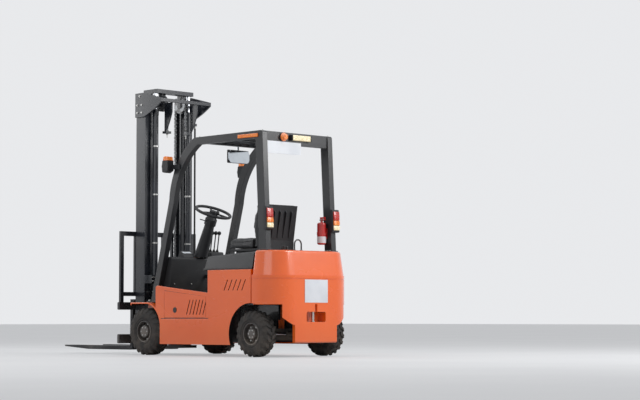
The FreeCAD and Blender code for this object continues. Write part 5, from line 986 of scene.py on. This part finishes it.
cushion = padStart("seatCushionPad", "seat_cushion", padStyle["seatCushionPad"]["shrink"])
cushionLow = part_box("seat_cushion")[0].z + 0.014
cushion = stuffed(cushion, padStyle["seatCushionPad"]["cap"], lambda point: point.z < cushionLow)
cushionLines = [lambda p: abs(abs(p.y) - 166) + max(0, 1070 - p.z) * 4,
                lambda p: abs(p.x + 985) + max(0, abs(p.y) - 166) * 3 + max(0, 1060 - p.z) * 4,
                lambda p: abs(p.x + 1085) + max(0, abs(p.y) - 166) * 3 + max(0, 1060 - p.z) * 4]
sewn(cushion, cushionLines, 5.5, 6.0)
dress(cushion, finishes["seatVinyl"], "lid", ["seat_cushion"])

back = padStart("seatBackPad", "seat_back", padStyle["seatBackPad"]["shrink"])
backRear = [(1014, -1266), (1110, -1266), (1440, -1328)]


def rearOfBack(point):
    z = point.z / mm
    for (lowZ, lowX), (highZ, highX) in zip(backRear, backRear[1:]):
        if z <= highZ:
            return (point.x - axleX) / mm < lowX + (highX - lowX) * (z - lowZ) / (highZ - lowZ) + 16
    return False


back = stuffed(back, padStyle["seatBackPad"]["cap"], rearOfBack)
backLines = [lambda p: abs(abs(p.y) - 168) + max(0, -1262 - p.x) * 2,
             lambda p: abs(p.z - 1185) + max(0, abs(p.y) - 168) * 3 + max(0, -1255 - p.x) * 2,
             lambda p: abs(p.z - 1270) + max(0, abs(p.y) - 168) * 3 + max(0, -1265 - p.x) * 2,
             lambda p: abs(p.z - 1355) + max(0, abs(p.y) - 168) * 3 + max(0, -1280 - p.x) * 2]
sewn(back, backLines, 5.0, 6.5)
dress(back, finishes["seatVinyl"], "lid", ["seat_back"])

pipingOn("cushionPiping", cushion, [(-1195, 226, 1086), (-1100, 231, 1088), (-980, 231, 1088), (-905, 226, 1084),
                                    (-884, 150, 1080), (-882, 0, 1078), (-884, -150, 1080), (-905, -226, 1084),
                                    (-980, -231, 1088), (-1100, -231, 1088), (-1195, -226, 1086)])
pipingOn("backPiping", back, [(-1230, 231, 1120), (-1245, 231, 1250), (-1275, 231, 1370), (-1290, 215, 1428),
                              (-1292, 100, 1438), (-1292, -100, 1438), (-1290, -215, 1428),
                              (-1275, -231, 1370), (-1245, -231, 1250), (-1230, -231, 1120)])
print("seat pads made")


# Lift chains

chainStyle = {"across": 123, "pitch": 38.1, "height": 6.4, "reach": 15.6, "pin": 3.3, "pinReach": 13.2,
              "plates": ((8.6, 12.2, 0), (2.2, 6.6, 19.05)), "pathRadius": 79, "x": 215, "sheaveZ": 2492,
              "frontEnd": 524, "rearEnd": 2214}


def chainLink():
    bm = bmesh.new()
    reach, tall = chainStyle["reach"], chainStyle["height"]
    waist = [(-reach, 0), (-reach + 4, tall), (-5, tall), (0, tall - 1.6), (5, tall), (reach - 4, tall),
             (reach, 0), (reach - 4, -tall), (5, -tall), (0, 1.6 - tall), (-5, -tall), (-reach + 4, -tall)]
    for near, far, shift in chainStyle["plates"]:
        for side in bothSides:
            first = [bm.verts.new((v * mm, side * near * mm, (u + shift) * mm)) for u, v in waist]
            last = [bm.verts.new((v * mm, side * far * mm, (u + shift) * mm)) for u, v in waist]
            bm.faces.new(first)
            bm.faces.new(last)
            for i in range(len(waist)):
                other = (i + 1) % len(waist)
                bm.faces.new((first[i], first[other], last[other], last[i]))
    for z in (-9.5, 9.5):
        ends = []
        for y in (-chainStyle["pinReach"], chainStyle["pinReach"]):
            ends.append([bm.verts.new((chainStyle["pin"] * mm * math.cos(math.pi * i / 4), y * mm,
                                       (z + chainStyle["pin"] * math.sin(math.pi * i / 4)) * mm)) for i in range(8)])
        bm.faces.new(ends[0])
        bm.faces.new(ends[1])
        for i in range(8):
            bm.faces.new((ends[0][i], ends[0][(i + 1) % 8], ends[1][(i + 1) % 8], ends[1][i]))
    return pieceFrom(bm, "chainLink")


def chainPath(across):
    x, z, r = chainStyle["x"], chainStyle["sheaveZ"], chainStyle["pathRadius"]
    points = [at(x + r, across, chainStyle["frontEnd"])]
    points += [at(x + r * math.cos(math.radians(a)), across, z + r * math.sin(math.radians(a)))
               for a in range(0, 181, 6)]
    points.append(at(x - r, across, chainStyle["rearEnd"]))
    curve = bpy.data.curves.new("chainPath", "CURVE")
    curve.dimensions = "3D"
    spline = curve.splines.new("POLY")
    spline.points.add(len(points) - 1)
    for place, point in zip(spline.points, points):
        place.co = (*point, 1)
    return link(bpy.data.objects.new("chainPath", curve))


chainSides = []
for side in bothSides:
    path = chainPath(side * chainStyle["across"])
    chainSides.append(repeated("chainSide", "path", chainLink(),
                               {"Path": path, "Spacing": chainStyle["pitch"] * mm}, finishes["chainSteel"]))
    bpy.data.objects.remove(path)
liftChains = joined("liftChainLinks", chainSides)
dress(liftChains, finishes["chainSteel"], "inner", ["lift_chains"])
anchors = []
for side in bothSides:
    for z, tall in ((2150, 36), (2176, 10)):
        anchors.append(lathe("anchorRod", [(0, 5 if tall > 20 else 10), (tall, 5 if tall > 20 else 10)],
                             at(136, side * 123, z), (0, 0, 1), 12 if tall > 20 else 6))
dress(joined("chainAnchorRods", anchors), finishes["zincSteel"], "mast")
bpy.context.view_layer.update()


# Lamps

lampStyle = {"headX": -256, "headZ": 1815, "headY": 498.15, "glass": 30}
headGlass = []
for side in bothSides:
    r = lampStyle["glass"]
    headGlass.append(lathe("headGlass", [(-1, r), (2, r), (5, r - 4), (7.2, r - 12), (8.2, r - 22), (8.4, 1)],
                           at(lampStyle["headX"], side * lampStyle["headY"], lampStyle["headZ"]), (1, 0, 0), 40))
dress(joined("headLampGlass", headGlass), finishes["clearLens"], "truck")


def legBack(z):
    return -1632 + 53 * (z - 992) / 1063


lensParts = {  # height from and to, finish, slot
    "rearLensRed": (1281, 1364, "redLens", "lens_red"),
    "rearLensAmber": (1233, 1279, "amberLens", "lens_amber"),
    "rearLensClear": (1186, 1231, "clearLens", "lens_bright"),
}
for lensName, (low, high, finishName, slotName) in lensParts.items():
    middle = (low + high) / 2
    outline = [(legBack(low) - 34, low), (legBack(low) - 47, low + 1), (legBack(middle) - 50, middle),
               (legBack(high) - 47, high - 1), (legBack(high) - 34, high)]
    left = prism(lensName + "Half", outline, "XZ", 401, 475, 3)
    right = mirroredCopy(left, lensName + "Other")
    dress(joined(lensName, [left, right]), finishes[finishName], "truck",
          ["rear_lenses"] if lensName == "rearLensRed" else ())

beaconRing = lathe("beaconFoot", [(-0.2, 34), (-0.2, 41.5), (10, 41.5), (13, 40), (13, 34)],
                   at(-1570.3, 190, 2037), (-1, 0, 0), 48, True)
dress(beaconRing, finishes["blackPlastic"], "truck")
lampGuard = [prism("lampEnd", [(-1570.3, 2008), (-1606, 2010), (-1606, 2064), (-1570.3, 2066)], "XZ", y - 4, y + 4, 2)
             for y in (-152, 92)]
dress(joined("workLampEnds", lampGuard), finishes["blackPlastic"], "truck")
print("lamps made")


# Mirror

mirrorShell = slab("mirrorShell", at(-658, -243, 1859), at(-636, 33, 1988), 9)
dress(mirrorShell, finishes["blackPlastic"], "truck")


# Driver's place

floorStuds = {"unit": (9, 3), "step": 34, "first": (-262, -442), "count": (19, 27)}
stud = lathe("stud", [(0, 9), (2, 8), (3, 6)], Vector((0, 0, 0)), (0, 0, 1), 10)
slope = -53 / 668
columns, rows = floorStuds["count"]
studs = repeated("floorStuds", "row", stud,
                 {"Count": columns, "Step": Vector((-floorStuds["step"] * mm, 0, floorStuds["step"] * slope * mm)),
                  "Rows": rows, "Row Step": Vector((0, floorStuds["step"] * mm, 0))}, finishes["floorRubber"])
startX, startY = floorStuds["first"]
studs.data.transform(Matrix.Translation(at(startX, startY, 628 + (startX + 230) * -slope - 0.2)))
dress(studs, finishes["floorRubber"], "truck")

ribParts = []
for y in (-190, -60):
    for number in range(6):
        share = (number + 0.5) / 6
        x, z = -353 - 61 * share, 747 - 69 * share
        ribParts.append(prism("padRib", [(x + 3, z + 3), (x - 3, z - 3), (x - 6, z - 0.6), (x, z + 5.6)], "XZ",
                              y - 34, y + 34, 1))
dress(joined("pedalRibs", ribParts), finishes["floorRubber"], "truck")

columnFoot, wheelCentre = at(-215, 0, 915), at(-410, 0, 1390)
columnWay = (wheelCentre - columnFoot).normalized()
horn = lathe("hornButton", [(6, 30), (12, 29), (16, 24), (18, 12), (18.4, 1)], wheelCentre, columnWay, 40)
dress(horn, finishes["blackPlastic"], "handwheel")
boots = []
for y in (-150, -195, -240):
    boots.append(lathe("boot", [(0, 19), (4, 19), (6, 15), (9, 17.5), (11, 13), (14, 15.5), (16, 11.5), (19, 13.5),
                                (21, 10), (25, 11), (27, 7)], at(-205, y, 1008), (-0.16, 0, 1), 28))
dress(joined("leverBoots", boots), finishes["floorRubber"], "truck")
screen = prism("dashScreen", [(-187, 1004.6), (-187.6, 1005.8), (-215.6, 989.8), (-215, 988.6)], "XZ", 106, 214, 0.5)
dress(screen, finishes["mirrorGlass"], "truck")
# painted light: the amber lens finish glows, so this yellow base of the stop button glows faintly though it is no lamp
stopBase = lathe("stopBase", [(0, 22), (3, 22), (4, 20)], at(-192, 20, 950), (0, 0, 1), 36)
dress(stopBase, finishes["amberLens"], "truck")
stopButton = lathe("stopButton", [(0, 8), (12, 8), (13, 17), (20, 18), (25, 14), (27, 6), (27.3, 1)],
                   at(-192, 20, 952), (0, 0, 1), 36)
dress(stopButton, finishes["redPaint"], "truck")
keySwitch = joined("keySwitch", [lathe("keyRing", [(0, 14), (6, 14), (8, 11), (8.4, 1)], at(-192, -40, 950),
                                       (0, 0, 1), 32), slab("keyBlade", at(-194, -50, 957), at(-190, -30, 984), 1)])
dress(keySwitch, finishes["zincSteel"], "truck")
print("driver's place made")


# Extinguisher, handle lumps and hood trim

sleeve = lathe("extinguisherBand", [(0, 42.6), (0, 43.5), (62, 43.5), (62, 42.6)], at(-1545, -351.7, 1066),
               (0, 0, 1), 48, True)
dress(sleeve, finishes["whitePlate"], "truck")
gauge = lathe("extinguisherGauge", [(0, 10), (6, 10), (8, 8), (8.4, 1)], at(-1545, -340, 1284), (0, 1, 0), 28)
dress(gauge, finishes["zincSteel"], "truck")
plugs = [slab("plug", at(-1578, y - 12, 979.5), at(-1534, y + 12, z), 7) for y, z in ((132, 1024), (166, 1032))]
dress(joined("topPlugs", plugs), finishes["blackPlastic"], "truck")
sealParts = [prism("seal", [(-840, 806), (-840, 801), (-1484, 801), (-1484, 806)], "XZ", s * 478, s * 492, 1)
             for s in bothSides]
dress(joined("hoodSeal", sealParts), finishes["floorRubber"], "truck")
clamps = []
for z in (620, 1100, 1580, 2060):
    for side in bothSides:
        clamps.append(lathe("clamp", [(-7, 28), (-7, 31), (7, 31), (7, 28)], at(205, side * 215, z),
                            (0, 0, 1), 36, True))
dress(joined("cylinderClamps", clamps), finishes["zincSteel"], "mast")
hoseEnds = [lathe("hoseEnd", [(0, 11), (22, 11), (24, 9.5)], at(154, -262, z), (0, 0, way), 6)
            for z, way in ((782, 1), (2288, -1))]
dress(joined("hoseEnds", hoseEnds), finishes["zincSteel"], "mast")
print("small parts made")
